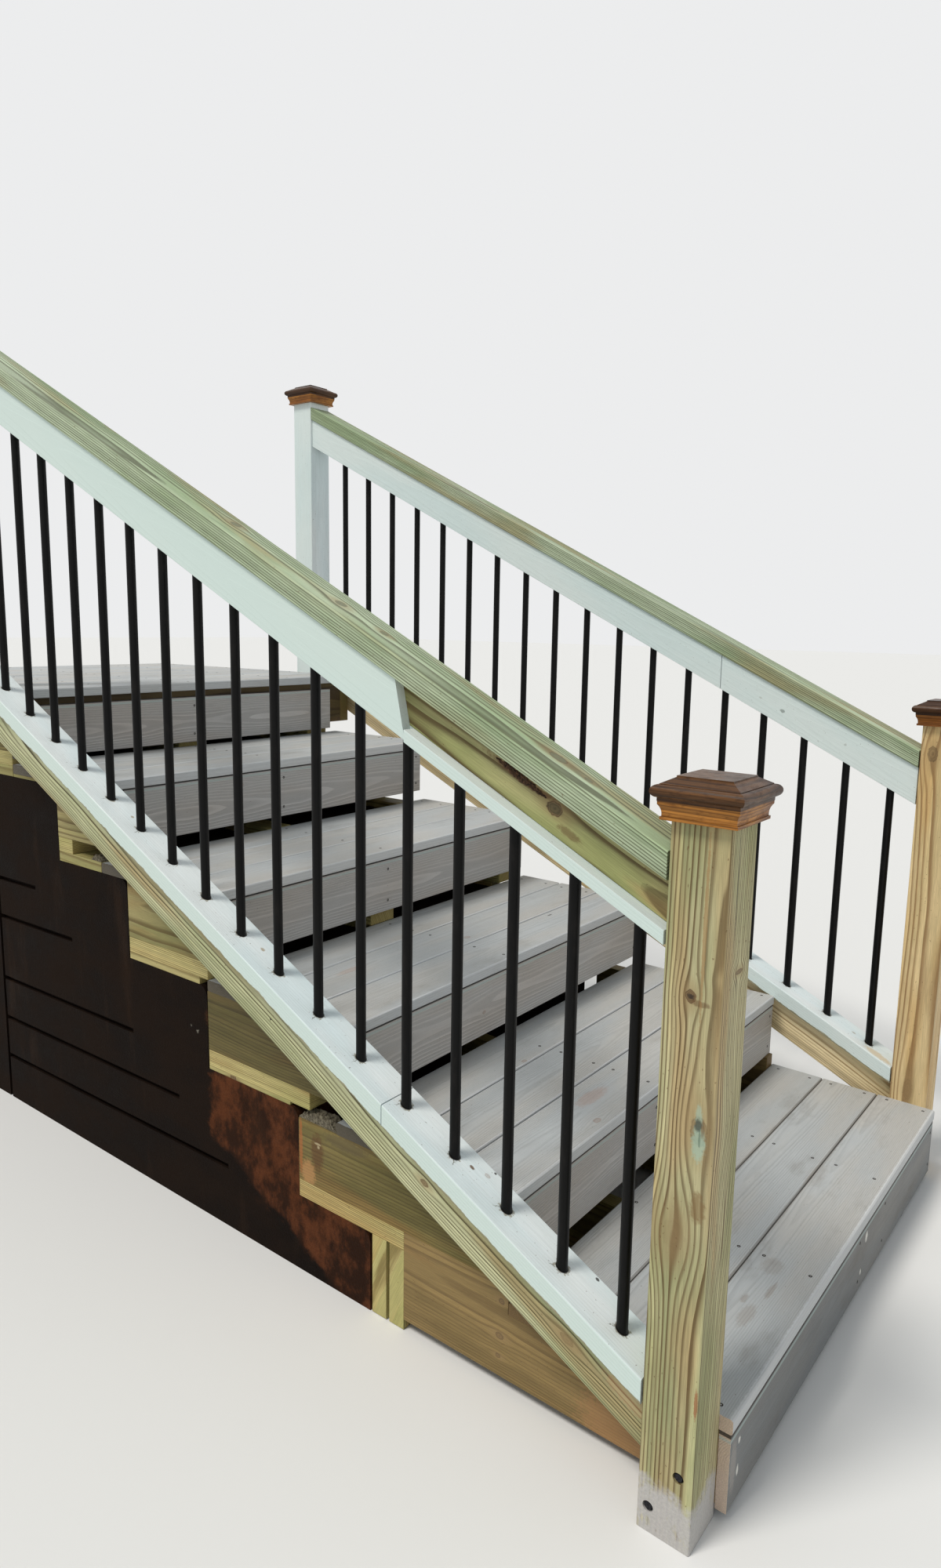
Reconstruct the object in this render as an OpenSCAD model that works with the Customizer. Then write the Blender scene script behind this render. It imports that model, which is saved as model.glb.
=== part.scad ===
// Outdoor timber stair built over an older masonry stair: a low platform, raised treads, a landing
// and two railings with round balusters. Millimetres, +Z up, +Y up the stair, X across it.
// The origin is on the ground, in the middle of the stair's length and width.

/* [Flight] */
// Height of the platform's frame above the ground
platform_clear = 14.9; // [5:0.1:40]
// Slot behind the platform's deck, up to the first raised nosing
platform_back = 6.9; // [2:0.1:20]
// How much lower the first rise is than the others
first_rise_less = 7.2; // [0:0.1:12]
// How much lower the last rise is than the others
last_rise_less = 4; // [0:0.1:12]
// How far a tread reaches back under the next step's frame
tread_tuck = 22.3; // [21.5:0.1:30]
// Clear width between the railings' inner faces
stair_w = 1257; // [1000:1:1600]
// How much shorter each higher step is at its far end
draw_in = 21.5; // [0:0.5:22]
// How far tread boards run past their frame at the far end, on the drawn-in steps
far_overhang = 20; // [0:1:30]

/* [Decking] */
// Width of a deck board
deck_w = 139.7; // [116:0.1:170]
// Thickness of a deck board
deck_t = 25.4; // [19:0.1:38]
// Gap between the boards of a tread
tread_gap = 4.8; // [1:0.1:8]
// Gap between the boards of the platform
platform_gap = 1.5; // [1:0.1:8]
// Edge radius of a deck board
deck_r = 4; // [1:0.5:8]
// Boards in the landing
landing_boards = 8; // [4:1:12]
// Thickness of the riser boards
riser_t = 19; // [12:0.5:19]
// Nosing overhang past the riser's face
nosing = 2; // [0:0.5:2]
// Shadow gap between a riser's top edge and the deck board above it
riser_drop = 1.5; // [0:0.5:10]
// The same gap at the landing, where the frame behind shows as a bare strip
landing_riser_drop = 19; // [0:0.5:25]

/* [Framing] */
// Thickness of framing timber
stock_t = 38.1; // [31:0.1:46]
// Depth of a joist, a rim board or a riser board
joist_h = 139.7; // [116:0.1:170]
// Width of a plate, of a stud and of the rail on edge under the bottom rail
plate_w = 88.9; // [74:0.1:107]
// Height of the platform's side boards above the ground
skirt_clear = 22.9; // [5:0.1:40]
// Gap between the two studs of a pair
stud_gap = 8; // [4:1:12]
// Gap between the studs and the masonry
stud_clear = 5.4; // [1:0.1:10]
// Overhang of the second and third plates in front of the masonry step behind them
plate_lead = [34.6, 5]; // [0:0.1:60]
// Distance of the middle plates from the stair's near edge
middle_plate = 572; // [400:1:700]
// Length of the plates under the fourth step frame, short blocks at its back
block_l = 64; // [40:1:80]
// Clearance between the upper frames, their plates and what is behind or before them
frame_clear = 2; // [1:0.5:4]
// Joists between the platform's side boards
platform_joist_count = 2; // [1:1:4]

/* [Masonry stair] */
// Distance from the first raised nosing to the first masonry riser
masonry_lead = 333.6; // [310:0.1:345]
// How much shorter the first masonry going is than the timber's
masonry_first_less = 199.4; // [181:0.1:211]
// How much shorter a masonry going is than the timber's
masonry_going_less = 108.1; // [104:0.1:112]
// How much lower a masonry rise is than the timber's
masonry_rise_less = 8.5; // [1:0.1:12]
// How far the masonry stops short of the stair's far side
masonry_short = 107.5; // [0:0.5:115]
// Radius of the masonry nosings
masonry_r = 25; // [5:1:40]
// Masonry step that each groove in the near side is measured from
groove_step = [1, 1, 2, 3, 3]; // [1:1:3]
// Distance of each groove's front end behind that step's riser
groove_back = [237, 414, 295.5, 257.7, 430]; // [100:0.5:600]
// Distance of each groove's front end below that step's top
groove_drop = [213.5, 101.5, 181, 199, 92]; // [60:0.5:230]
// Distance behind the landing's nosing at which the grooves end in an upright one
groove_end = 136; // [50:1:300]
// Height and depth of a groove
groove_w = 12; // [5:1:20]
// Angle by which the grooves fall towards the landing
groove_fall = 1.15; // [0:0.05:2]

/* [Railing] */
// Side of a square post
post_w = 89; // [74:0.5:107]
// Edge radius of posts and rails
edge_r = 3; // [1:0.5:6]
// Distance from the platform's front edge to the low newels' centres
newel_low_y = 66; // [50:1:90]
// Distance from the landing's front edge to the top newels' centres
newel_top_y = 245.9; // [200:0.1:400]
// Top of the low newels above the platform, near and far
newel_low_h = [963, 996]; // [930:1:1050]
// Top of the top newels above the landing
newel_top_h = 993; // [980:1:1100]
// Height of the bottom rails' tops above the platform, at the low newels' centre line
bottom_rail_h = [46, 58]; // [40:0.5:65]
// How much flatter than the flight they lie
bottom_flatter = [0, 0.031]; // [0:0.001:0.04]
// Height of the hand rails' tops above the platform, at the low newels' centre line
hand_rail_h = [868, 884]; // [800:1:890]
// How much flatter than the flight they lie
hand_flatter = [0, 0.011]; // [0:0.001:0.03]
// How far the flat rails' sides stand back from the posts' faces
rail_inset = 0.05; // [0.05:0.05:5]
// Depth of the top rail under the hand rail
top_rail_h = 63.5; // [50:0.1:89]
// Thickness of the white strip and the face boards
strip_t = 19; // [12:0.5:25]
// Their edge radius
strip_r = 1; // [0.5:0.5:2]
// Gap at the rails' lower ends
rail_gap = 3; // [0:0.5:6]
// Gap between rail members that lie on each other
lay_gap = 0.2; // [0.1:0.1:0.5]
// Length of the outer face board, down from the top newel
outer_face_l = 1631; // [500:1:1800]
// Angle by which the cut at its lower end leans up the slope
face_end_lean = 12.5; // [0:0.5:20]
// Distance from the low newel's centre line to the joint in the near bottom rail
bottom_joint = 585; // [300:1:1000]
// The same to the joint in the inner face boards
face_joint = 575; // [300:1:1000]
// Gap at these joints
joint_gap = 2; // [0.5:0.5:3]
// Spacing of the balusters
baluster_pitch = 114.3; // [90:0.1:137]
// Diameter of a baluster
baluster_d = 19; // [12:0.5:25]
// Distance from the low newel's centre line to the first baluster, near and far
baluster_first = [106.4, 117.3]; // [80:0.1:130]
// Depth of a baluster's socket in the bottom rail
socket_depth = 16; // [8:0.5:20]
// Clearance round a baluster in its hole
hole_clear = 0.3; // [0.2:0.1:1]
// Distance of the two bolt bores in the near low newel from its centre line
bolt_y = [-20.7, 26]; // [-30:0.1:30]
// Their heights above the ground
bolt_z = [120.8, 43.5]; // [30:0.1:150]
// Diameter of a bolt bore
bolt_bore = 18; // [12:0.5:22]
// Depth of a bolt bore
bolt_depth = 14; // [8:1:25]

/* [Post caps] */
// Height of the moulding under a cap
mould_h = 26; // [20:0.5:40]
// Projection of the moulding's top band
mould_out = 15; // [12:0.5:20]
// Projection of its foot
mould_foot = 12; // [8:0.5:14]
// Projection of its neck, where the cove starts
mould_neck = 10; // [5:0.5:11]
// Height of the band and of the foot
mould_band = 4.5; // [2:0.5:6]
// Share of the height between them that the cove takes
cove_share = 0.8; // [0.6:0.05:0.95]
// Thickness of the cap's slab, with the bead under it
slab_h = 23; // [18:0.5:30]
// Height of that bead
bead_h = 5; // [3:0.5:8]
// Projection of the bead
bead_out = 15.5; // [12:0.5:20]
// Projection of the slab past the post
slab_out = 23.5; // [18:0.5:30]
// Small step at the top of the slab's rounding
ledge_h = 1; // [0.5:0.1:3]
// Height of the sloping part above the slab
hip_h = 9; // [4:0.5:20]
// Height of the flat field on top
field_h = 2; // [1:0.5:4]
// Half the width of that field
field_half = 41; // [25:0.5:45]
// Clearance between a cap's moulding and its post
cap_clear = 0.3; // [0.2:0.1:1]

/* [Hidden] */
$fn = 48;
steps = 4;
tread_boards = 3;
tread_depth = tread_boards * deck_w + (tread_boards - 1) * tread_gap;
platform_depth = tread_boards * deck_w + (tread_boards - 1) * platform_gap;

// A step is as high as its frame, with the plate under it and the boards on it
rise = deck_t + joist_h + stock_t;
going = tread_depth - tread_tuck;
platform_h = platform_clear + joist_h + deck_t;
platform_going = platform_depth + platform_back;
first_rise = rise - first_rise_less;
last_rise = rise - last_rise_less;
slope = rise / going;

// Deck level above the ground: 0 is the platform, 1 to 4 the treads, 5 the landing
function level(k) =
    k == 0 ? platform_h :
    k <= steps ? platform_h + first_rise + (k - 1) * rise :
    platform_h + first_rise + (steps - 1) * rise + last_rise;
// Front edge of each deck, from the platform's front edge
function nose(k) = k == 0 ? 0 : platform_going + (k - 1) * going;

landing_l = landing_boards * deck_w + (landing_boards - 1) * tread_gap;
total_l = nose(5) + landing_l;

near_x = -stair_w / 2;
far_x = stair_w / 2;
// Far end of a step frame: the first step and the landing run full width
function frame_far(k) = (k >= 2 && k <= steps) ? far_x - draw_in * k : far_x;
function tread_far(k) = (k >= 2 && k <= steps) ? frame_far(k) + far_overhang : far_x;
landing_riser_far = far_x - draw_in * 5;
function riser_far(k) = k == 5 ? landing_riser_far : frame_far(k);

function deck_under(k) = level(k) - deck_t;
function joist_under(k) = deck_under(k) - joist_h;
function plate_under(k) = joist_under(k) - stock_t;
function riser_y(k) = nose(k) + nosing;
function rim_y(k) = riser_y(k) + riser_t;

// Masonry levels: 0 is the lowest step, 4 the landing slab
masonry_base = plate_under(1);
masonry_rise = rise - masonry_rise_less;
masonry_going = going - masonry_going_less;
masonry_first = going - masonry_first_less;
masonry_start = platform_going + masonry_lead;
masonry_w = stair_w - masonry_short;
function masonry_top(i) = masonry_base + i * masonry_rise;
function masonry_y(i) =
    i == 0 ? masonry_start : masonry_start + masonry_first + (i - 1) * masonry_going;
frame_end = [
    0,
    masonry_y(1),
    masonry_y(2) - frame_clear,
    masonry_y(3) - frame_clear,
    masonry_y(4),
    total_l
];
// Where what lies behind a tread's boards starts
function behind(k) = nose(k) + tread_depth + frame_clear;
stud_y = masonry_y(0) - stud_clear - stud_gap - 2 * stock_t;
plate_start = [
    0,
    stud_y,
    masonry_y(1) - plate_lead[0],
    masonry_y(2) - plate_lead[1],
    masonry_y(4) - block_l,
    behind(4)
];

post_x = stair_w / 2 + post_w / 2;
rail_w = post_w - 2 * rail_inset;
newel_top_from_front = nose(5) + newel_top_y;
rail_start = newel_low_y + post_w / 2 + rail_gap;
rail_end = newel_top_from_front - post_w / 2;
// A line along the railing is its height above the platform at the low newel, and its slope
function rail_z(line, y) = platform_h + line[0] + line[1] * (y - newel_low_y);
// The line that lies t below another, square to it
function below(line, t) = [line[0] - t * sqrt(1 + line[1] * line[1]), line[1]];
function bottom_rail_top(side) = [bottom_rail_h[side], slope - bottom_flatter[side]];
function under_rail_top(side) = below(bottom_rail_top(side), stock_t + lay_gap);
function hand_rail_top(side) = [hand_rail_h[side], slope - hand_flatter[side]];
function top_rail_top(side) = below(hand_rail_top(side), stock_t + lay_gap);
function strip_top(side) = below(top_rail_top(side), top_rail_h + lay_gap);
face_h = top_rail_h + lay_gap + strip_t;
function face_under(side) = below(top_rail_top(side), face_h);
// The wide part of the strip ends just before the outer face board's leaning end
function strip_wide_end(side) =
    rail_end - outer_face_l - rail_gap
    - (top_rail_top(side)[0] - face_under(side)[0]) * tan(face_end_lean);

// As many balusters as leave a full space before the top newel
function baluster_count(side) =
    floor((rail_end - newel_low_y - baluster_first[side]) / baluster_pitch);
function baluster_y(side, i) = newel_low_y + baluster_first[side] + i * baluster_pitch;
// The pieces of a rail or board with a joint at y
function jointed(y) = [[rail_start, y - joint_gap / 2], [y + joint_gap / 2, rail_end]];

pine = "#a9a36c";
grey_paint = "#8f959a";
white_paint = "#d8e0dc";
dark_masonry = "#4a3a34";
black_metal = "#17181a";
light_stain = "#b5702c";
dark_stain = "#5d4238";

// Helpers

// Moves the stair so that the origin is in the middle of its length
module place() {
    translate([0, -total_l / 2, 0])
        children();
}

// Box between two corners
module block(a, b) {
    translate(a)
        cube(b - a);
}

// Rectangle with rounded corners, from its lower left corner
module soft_square(w, h, r) {
    translate([r, 0])
        square([w - 2 * r, h]);
    translate([0, r])
        square([w, h - 2 * r]);
    for (x = [r, w - r])
        for (y = [r, h - r])
            translate([x, y])
                circle(r = r);
}

// Board laid across the stair, with eased long edges
module cross_board(x0, x1, y, z, w, t, r) {
    translate([x0, y, z])
        rotate([90, 0, 90])
            linear_extrude(x1 - x0)
                soft_square(w, t, r);
}

// A row of boards across the stair, side by side
module deck(x0, x1, y, top, count, gap) {
    for (i = [0:count - 1])
        cross_board(x0, x1, y + i * (deck_w + gap), top - deck_t, deck_w, deck_t, deck_r);
}

// Board along the railing. Its top follows a line, x0 and x1 are its sides, and its ends are cut
// plumb at y0 and y1.
module sloped_board(x0, x1, line, t, y0, y1, r = edge_r) {
    intersection() {
        translate([x0, newel_low_y, platform_h + line[0]])
            rotate([atan(line[1]), 0, 0])
                translate([0, -total_l, 0])
                    rotate([-90, 0, 0])
                        linear_extrude(3 * total_l)
                            soft_square(x1 - x0, t, r);
        block([x0 - 1, y0, -total_l], [x1 + 1, y1, 2 * total_l]);
    }
}

// The far railing mirrors the near one
module on_side(side) {
    if (side == 0)
        children();
    else
        mirror([1, 0, 0])
            children();
}

// Base and framing

module masonry_step(i) {
    y = masonry_y(i);
    h = masonry_top(i);
    translate([y + masonry_r, 0])
        square([total_l - y - masonry_r, h]);
    translate([y, 0])
        square([masonry_r, h - masonry_r]);
    translate([y + masonry_r, h - masonry_r])
        circle(r = masonry_r);
}

// Grooves in the near side, which fall a little towards an upright one under the landing
module side_grooves() {
    y_end = nose(5) + groove_end;
    for (i = [0:len(groove_step) - 1])
        let (y = masonry_y(groove_step[i]) + groove_back[i])
            translate([near_x, y, masonry_top(groove_step[i]) - groove_drop[i]])
                rotate([-groove_fall, 0, 0])
                    block([-1, 0, -groove_w], [groove_w, y_end - y, 0]);
    block([near_x - 1, y_end, -1], [near_x + groove_w, y_end + groove_w, masonry_top(3)]);
}

module concrete_steps() {
    color(dark_masonry)
        place()
            difference() {
                translate([near_x, 0, 0])
                    rotate([90, 0, 90])
                        linear_extrude(masonry_w)
                            for (i = [0:steps])
                                masonry_step(i);
                side_grooves();
            }
}

module studs() {
    color(pine)
        place()
            for (x = [near_x, far_x - plate_w])
                for (i = [0, 1])
                    block(
                        [x, stud_y + i * (stock_t + stud_gap), 0],
                        [x + plate_w, stud_y + i * (stock_t + stud_gap) + stock_t, plate_under(1)]
                    );
}

// Wide board from the fascia to the studs, notched where the platform's deck lies on it and eased
// under the first riser
module skirt(x) {
    top = joist_under(1);
    difference() {
        block([x, rim_y(0), skirt_clear], [x + stock_t, stud_y, top]);
        block(
            [x - 1, rim_y(0) - 1, deck_under(0)],
            [x + stock_t + 1, platform_depth + 1, top + 1]
        );
        block(
            [x - 1, platform_depth, top - riser_drop],
            [x + stock_t + 1, rim_y(1), top + 1]
        );
    }
}

module skirt_boards() {
    color(pine)
        place() {
            skirt(near_x);
            skirt(far_x - stock_t);
        }
}

module platform_rims() {
    color(pine)
        place()
            for (y = [rim_y(0), stud_y - stock_t])
                block(
                    [near_x + stock_t, y, joist_under(0)],
                    [far_x - stock_t, y + stock_t, deck_under(0)]
                );
}

module platform_joists() {
    inner_w = stair_w - 2 * stock_t;
    color(pine)
        place()
            for (i = [1:platform_joist_count])
                let (x = near_x + stock_t + inner_w * i / (platform_joist_count + 1) - stock_t / 2)
                    block(
                        [x, rim_y(0) + stock_t, joist_under(0)],
                        [x + stock_t, stud_y - stock_t, deck_under(0)]
                    );
}

module platform_fascia() {
    color(grey_paint)
        place()
            cross_board(near_x, far_x, riser_y(0), joist_under(0), riser_t, joist_h, edge_r / 2);
}

module platform_deck() {
    color(grey_paint)
        place()
            deck(near_x, far_x, 0, level(0), tread_boards, platform_gap);
}

// Left edge of each of the three plates under a step frame
function plate_x(k) = [
    near_x,
    near_x + middle_plate - plate_w / 2,
    min(frame_far(k), plate_far_limit(k)) - plate_w
];
// The landing's far plate stays on the masonry
function plate_far_limit(k) = k == 5 ? near_x + masonry_w : far_x;

module plate(k, x, y0, y1) {
    block([x, y0, plate_under(k)], [x + plate_w, y1, joist_under(k)]);
}

module plates() {
    color(pine)
        place()
            for (k = [1:5])
                for (x = plate_x(k))
                    plate(k, x, plate_start[k], frame_end[k]);
}

// Packing on a masonry step, from its rounded nosing to the back of the plate above it
module packing(x, y0, y1, i, top) {
    block([x, y0, masonry_top(i)], [min(x + plate_w, near_x + masonry_w), y1, top]);
}

module packing_strips() {
    color(pine)
        place() {
            for (k = [2:3])
                for (x = plate_x(k))
                    packing(x, masonry_y(k - 1) + masonry_r, frame_end[k], k - 1, plate_under(k));
            for (x = plate_x(4)) {
                packing(x, behind(3), frame_end[4], 3, plate_under(4));
                packing(x, nose(4) + tread_depth - deck_w, nose(4) + tread_depth, 4, deck_under(4));
            }
            for (x = plate_x(5))
                packing(x, plate_start[5], total_l, 4, plate_under(5));
        }
}

module rim_boards() {
    color(pine)
        place() {
            for (k = [1:5])
                block(
                    [near_x + stock_t, rim_y(k), joist_under(k)],
                    [frame_far(k) - stock_t, rim_y(k) + stock_t, deck_under(k)]
                );
            block(
                [near_x + stock_t, total_l - stock_t, joist_under(5)],
                [far_x - stock_t, total_l, deck_under(5)]
            );
        }
}

module joist(k, x, y0, y1) {
    block([x, y0, joist_under(k)], [x + stock_t, y1, deck_under(k)]);
}

// Two side boards that flank the rim board, and a middle joist over the middle plate
module step_joists(k) {
    color(pine)
        place() {
            joist(k, near_x, rim_y(k), frame_end[k]);
            joist(k, frame_far(k) - stock_t, rim_y(k), frame_end[k]);
            joist(k, near_x + middle_plate - stock_t / 2, rim_y(k) + stock_t, frame_end[k]);
        }
}

module landing_joists() {
    inner = middle_plate;
    color(pine)
        place() {
            joist(5, near_x, rim_y(5), total_l);
            joist(5, far_x - stock_t, rim_y(5), total_l);
            for (x = [inner / 2, inner, (inner + stair_w) / 2])
                joist(5, near_x + x - stock_t / 2, rim_y(5) + stock_t, total_l - stock_t);
        }
}

// Walking surface

module riser(k) {
    drop = k == 5 ? landing_riser_drop : riser_drop;
    color(grey_paint)
        place()
            cross_board(
                near_x, riser_far(k), riser_y(k), deck_under(k) - drop - joist_h,
                riser_t, joist_h, edge_r / 2
            );
}

module tread(k) {
    color(grey_paint)
        place()
            deck(near_x, tread_far(k), nose(k), level(k), tread_boards, tread_gap);
}

module landing_deck() {
    color(grey_paint)
        place()
            deck(near_x, far_x, nose(5), level(5), landing_boards, tread_gap);
}

// Railing

module post(side, y, z0, z1) {
    place()
        on_side(side)
            translate([-post_x - post_w / 2, y - post_w / 2, z0])
                linear_extrude(z1 - z0)
                    soft_square(post_w, post_w, edge_r);
}

// The near low newel has two bores in its outer face, which the bolts sit in
module newel_low(side) {
    color(pine)
        difference() {
            post(side, newel_low_y, 0, platform_h + newel_low_h[side]);
            if (side == 0)
                place()
                    for (i = [0, 1])
                        translate([-post_x - post_w / 2 - 1, newel_low_y + bolt_y[i], bolt_z[i]])
                            rotate([0, 90, 0])
                                cylinder(d = bolt_bore, h = bolt_depth + 1);
        }
}

module newel_top(side) {
    color(white_paint)
        post(side, newel_top_from_front, joist_under(5), level(5) + newel_top_h);
}

// A bar with this half profile on all four sides: the profile is swept across in both directions
module square_turned(reach) {
    intersection() {
        rotate([90, 0, 0])
            translate([0, 0, -reach])
                linear_extrude(2 * reach)
                    children();
        rotate([90, 0, 90])
            translate([0, 0, -reach])
                linear_extrude(2 * reach)
                    children();
    }
}

// Moulding profile: a foot, a narrow neck, a cove that sweeps out and a square top band
module mould_profile() {
    half = post_w / 2;
    cove_d = mould_out - mould_neck;
    cove_h = cove_share * (mould_h - 2 * mould_band);
    cove_r = (cove_h * cove_h + cove_d * cove_d) / (2 * cove_d);
    cove_y = mould_h - mould_band - cove_h;
    difference() {
        translate([-half - mould_out, 0])
            square([2 * (half + mould_out), mould_h]);
        for (s = [0, 1])
            mirror([s, 0])
                intersection() {
                    translate([half + mould_neck, mould_band])
                        square([mould_out, mould_h - 2 * mould_band]);
                    union() {
                        translate([half + mould_neck + cove_r, cove_y])
                            circle(r = cove_r);
                        translate([half + mould_neck, 0])
                            square([mould_out, cove_y]);
                    }
                }
        for (s = [0, 1])
            mirror([s, 0])
                translate([half + mould_foot, -1])
                    square([mould_out, mould_band + 1]);
    }
}

module cap_moulding() {
    hole = post_w + 2 * cap_clear;
    difference() {
        square_turned(post_w)
            mould_profile();
        translate([-hole / 2, -hole / 2, -1])
            cube([hole, hole, mould_h + 2]);
    }
}

// Cap profile: a bead, a round-edged slab, a small ledge, a slope and a flat field on top
module cap_profile() {
    half = post_w / 2 + slab_out;
    round_r = (slab_h - bead_h) / 2;
    flat_half = half - round_r;
    hip_half = flat_half - ledge_h;
    bead_half = post_w / 2 + bead_out;
    hip_base = slab_h + ledge_h;
    translate([-bead_half, 0])
        square([2 * bead_half, bead_h]);
    translate([-flat_half, 0])
        square([2 * flat_half, slab_h]);
    for (s = [-1, 1])
        translate([s * flat_half, bead_h + round_r])
            circle(r = round_r);
    polygon([
        [-hip_half, bead_h],
        [hip_half, bead_h],
        [hip_half, hip_base],
        [field_half, hip_base + hip_h],
        [field_half, hip_base + hip_h + field_h],
        [-field_half, hip_base + hip_h + field_h],
        [-field_half, hip_base + hip_h],
        [-hip_half, hip_base]
    ]);
}

module at_each_post() {
    place()
        for (side = [0, 1])
            on_side(side) {
                translate([-post_x, newel_low_y, platform_h + newel_low_h[side]])
                    children();
                translate([-post_x, newel_top_from_front, level(5) + newel_top_h])
                    children();
            }
}

module cap_mouldings() {
    color(light_stain)
        at_each_post()
            translate([0, 0, -mould_h])
                cap_moulding();
}

module cap_tops() {
    color(dark_stain)
        at_each_post()
            square_turned(post_w)
                cap_profile();
}

// Flat rail whose sockets hold the balusters' feet
module bottom_rail(side) {
    spans = side == 0 ? jointed(newel_low_y + bottom_joint) : [[rail_start, rail_end]];
    color(white_paint)
        place()
            on_side(side)
                difference() {
                    for (span = spans)
                        sloped_board(
                            -post_x - rail_w / 2, -post_x + rail_w / 2,
                            bottom_rail_top(side), stock_t, span[0], span[1]
                        );
                    for (i = [0:baluster_count(side) - 1])
                        let (y = baluster_y(side, i))
                            translate([-post_x, y, rail_z(bottom_rail_top(side), y) - socket_depth])
                                cylinder(r = baluster_d / 2 + hole_clear, h = 2 * socket_depth);
                }
}

module under_rail(side) {
    color(pine)
        place()
            on_side(side)
                sloped_board(
                    -post_x - stock_t / 2, -post_x + stock_t / 2,
                    under_rail_top(side), plate_w, rail_start, rail_end
                );
}

module hand_rail(side) {
    color(pine)
        place()
            on_side(side)
                sloped_board(
                    -post_x - rail_w / 2, -post_x + rail_w / 2,
                    hand_rail_top(side), stock_t, rail_start, rail_end
                );
}

module top_rail(side) {
    color(pine)
        place()
            on_side(side)
                sloped_board(
                    -post_x - stock_t / 2, -post_x + stock_t / 2,
                    top_rail_top(side), top_rail_h, rail_start, rail_end, edge_r / 2
                );
}

// White strip under the top rail. It is full width only where no face board covers its edge,
// and the balusters pass through it.
module top_strip(side) {
    color(white_paint)
        place()
            on_side(side)
                difference() {
                    sloped_board(
                        -post_x - rail_w / 2, -post_x + stock_t / 2,
                        strip_top(side), strip_t, rail_start, rail_end, strip_r
                    );
                    block(
                        [-post_x - rail_w, strip_wide_end(side), 0],
                        [-post_x - stock_t / 2, rail_end + 1, 2 * total_l]
                    );
                    for (i = [0:baluster_count(side) - 1])
                        let (y = baluster_y(side, i))
                            translate([-post_x, y, rail_z(face_under(side), y) - strip_t])
                                cylinder(r = baluster_d / 2 + hole_clear, h = 4 * strip_t);
                }
}

// The board on the top rail's outer side, with a leaning cut at its lower end
module outer_face_board(side) {
    tip = strip_wide_end(side) + rail_gap;
    difference() {
        sloped_board(
            -post_x - stock_t / 2 - strip_t, -post_x - stock_t / 2,
            top_rail_top(side), face_h, tip - rail_gap, rail_end, strip_r
        );
        translate([-post_x, tip, rail_z(face_under(side), tip)])
            rotate([-face_end_lean, 0, 0])
                block([-post_w, -outer_face_l, -outer_face_l], [post_w, 0, outer_face_l]);
    }
}

// Boards on the sides of the top rail: the inner one runs full length in two pieces
module face_boards(side) {
    color(white_paint)
        place()
            on_side(side) {
                for (span = jointed(newel_low_y + face_joint))
                    sloped_board(
                        -post_x + stock_t / 2, -post_x + stock_t / 2 + strip_t,
                        top_rail_top(side), face_h, span[0], span[1], strip_r
                    );
                outer_face_board(side);
            }
}

module baluster_row(side) {
    r = baluster_d / 2;
    color(black_metal)
        place()
            on_side(side)
                for (i = [0:baluster_count(side) - 1])
                    let (
                        y = baluster_y(side, i),
                        foot = rail_z(bottom_rail_top(side), y) - socket_depth,
                        head = rail_z(strip_top(side), y - r) - hole_clear
                    )
                        translate([-post_x, y, foot])
                            cylinder(r = r, h = head - foot);
}

concrete_steps();
studs();
skirt_boards();
platform_rims();
platform_joists();
platform_fascia();
platform_deck();
plates();
packing_strips();
rim_boards();
step_joists(1);  // step_joists_1
step_joists(2);  // step_joists_2
step_joists(3);  // step_joists_3
step_joists(4);  // step_joists_4
landing_joists();
riser(1);  // riser_1
riser(2);  // riser_2
riser(3);  // riser_3
riser(4);  // riser_4
riser(5);  // riser_5
tread(1);  // tread_1
tread(2);  // tread_2
tread(3);  // tread_3
tread(4);  // tread_4
landing_deck();
newel_low(0);  // newel_low_near
newel_low(1);  // newel_low_far
newel_top(0);  // newel_top_near
newel_top(1);  // newel_top_far
cap_mouldings();
cap_tops();
bottom_rail(0);  // bottom_rail_near
bottom_rail(1);  // bottom_rail_far
under_rail(0);  // under_rail_near
under_rail(1);  // under_rail_far
hand_rail(0);  // hand_rail_near
hand_rail(1);  // hand_rail_far
top_rail(0);  // top_rail_near
top_rail(1);  // top_rail_far
top_strip(0);  // top_strip_near
top_strip(1);  // top_strip_far
face_boards(0);  // face_boards_near
face_boards(1);  // face_boards_far
baluster_row(0);  // balusters_near
baluster_row(1);  // balusters_far
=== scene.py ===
"""Looks for the outdoor timber stair: materials, fasteners and small wear, studio light and camera.

Everything is in metres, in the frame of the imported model: +Z up, +Y up the stair, X across it.
"""

import math
import random

import bmesh
import bpy
from mathutils import Matrix, Vector


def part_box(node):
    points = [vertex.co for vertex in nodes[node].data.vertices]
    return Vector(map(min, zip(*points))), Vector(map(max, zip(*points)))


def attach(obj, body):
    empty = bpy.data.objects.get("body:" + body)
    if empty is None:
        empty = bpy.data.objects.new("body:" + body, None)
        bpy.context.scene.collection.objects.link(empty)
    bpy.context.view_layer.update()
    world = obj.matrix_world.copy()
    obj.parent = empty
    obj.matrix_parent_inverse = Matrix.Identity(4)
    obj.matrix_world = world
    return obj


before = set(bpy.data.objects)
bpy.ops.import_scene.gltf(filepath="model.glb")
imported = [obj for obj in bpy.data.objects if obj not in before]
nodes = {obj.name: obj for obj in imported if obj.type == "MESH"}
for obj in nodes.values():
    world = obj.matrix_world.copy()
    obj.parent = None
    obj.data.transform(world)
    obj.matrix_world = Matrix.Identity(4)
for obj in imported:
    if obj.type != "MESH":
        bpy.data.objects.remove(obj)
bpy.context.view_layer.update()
scene = bpy.context.scene

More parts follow.
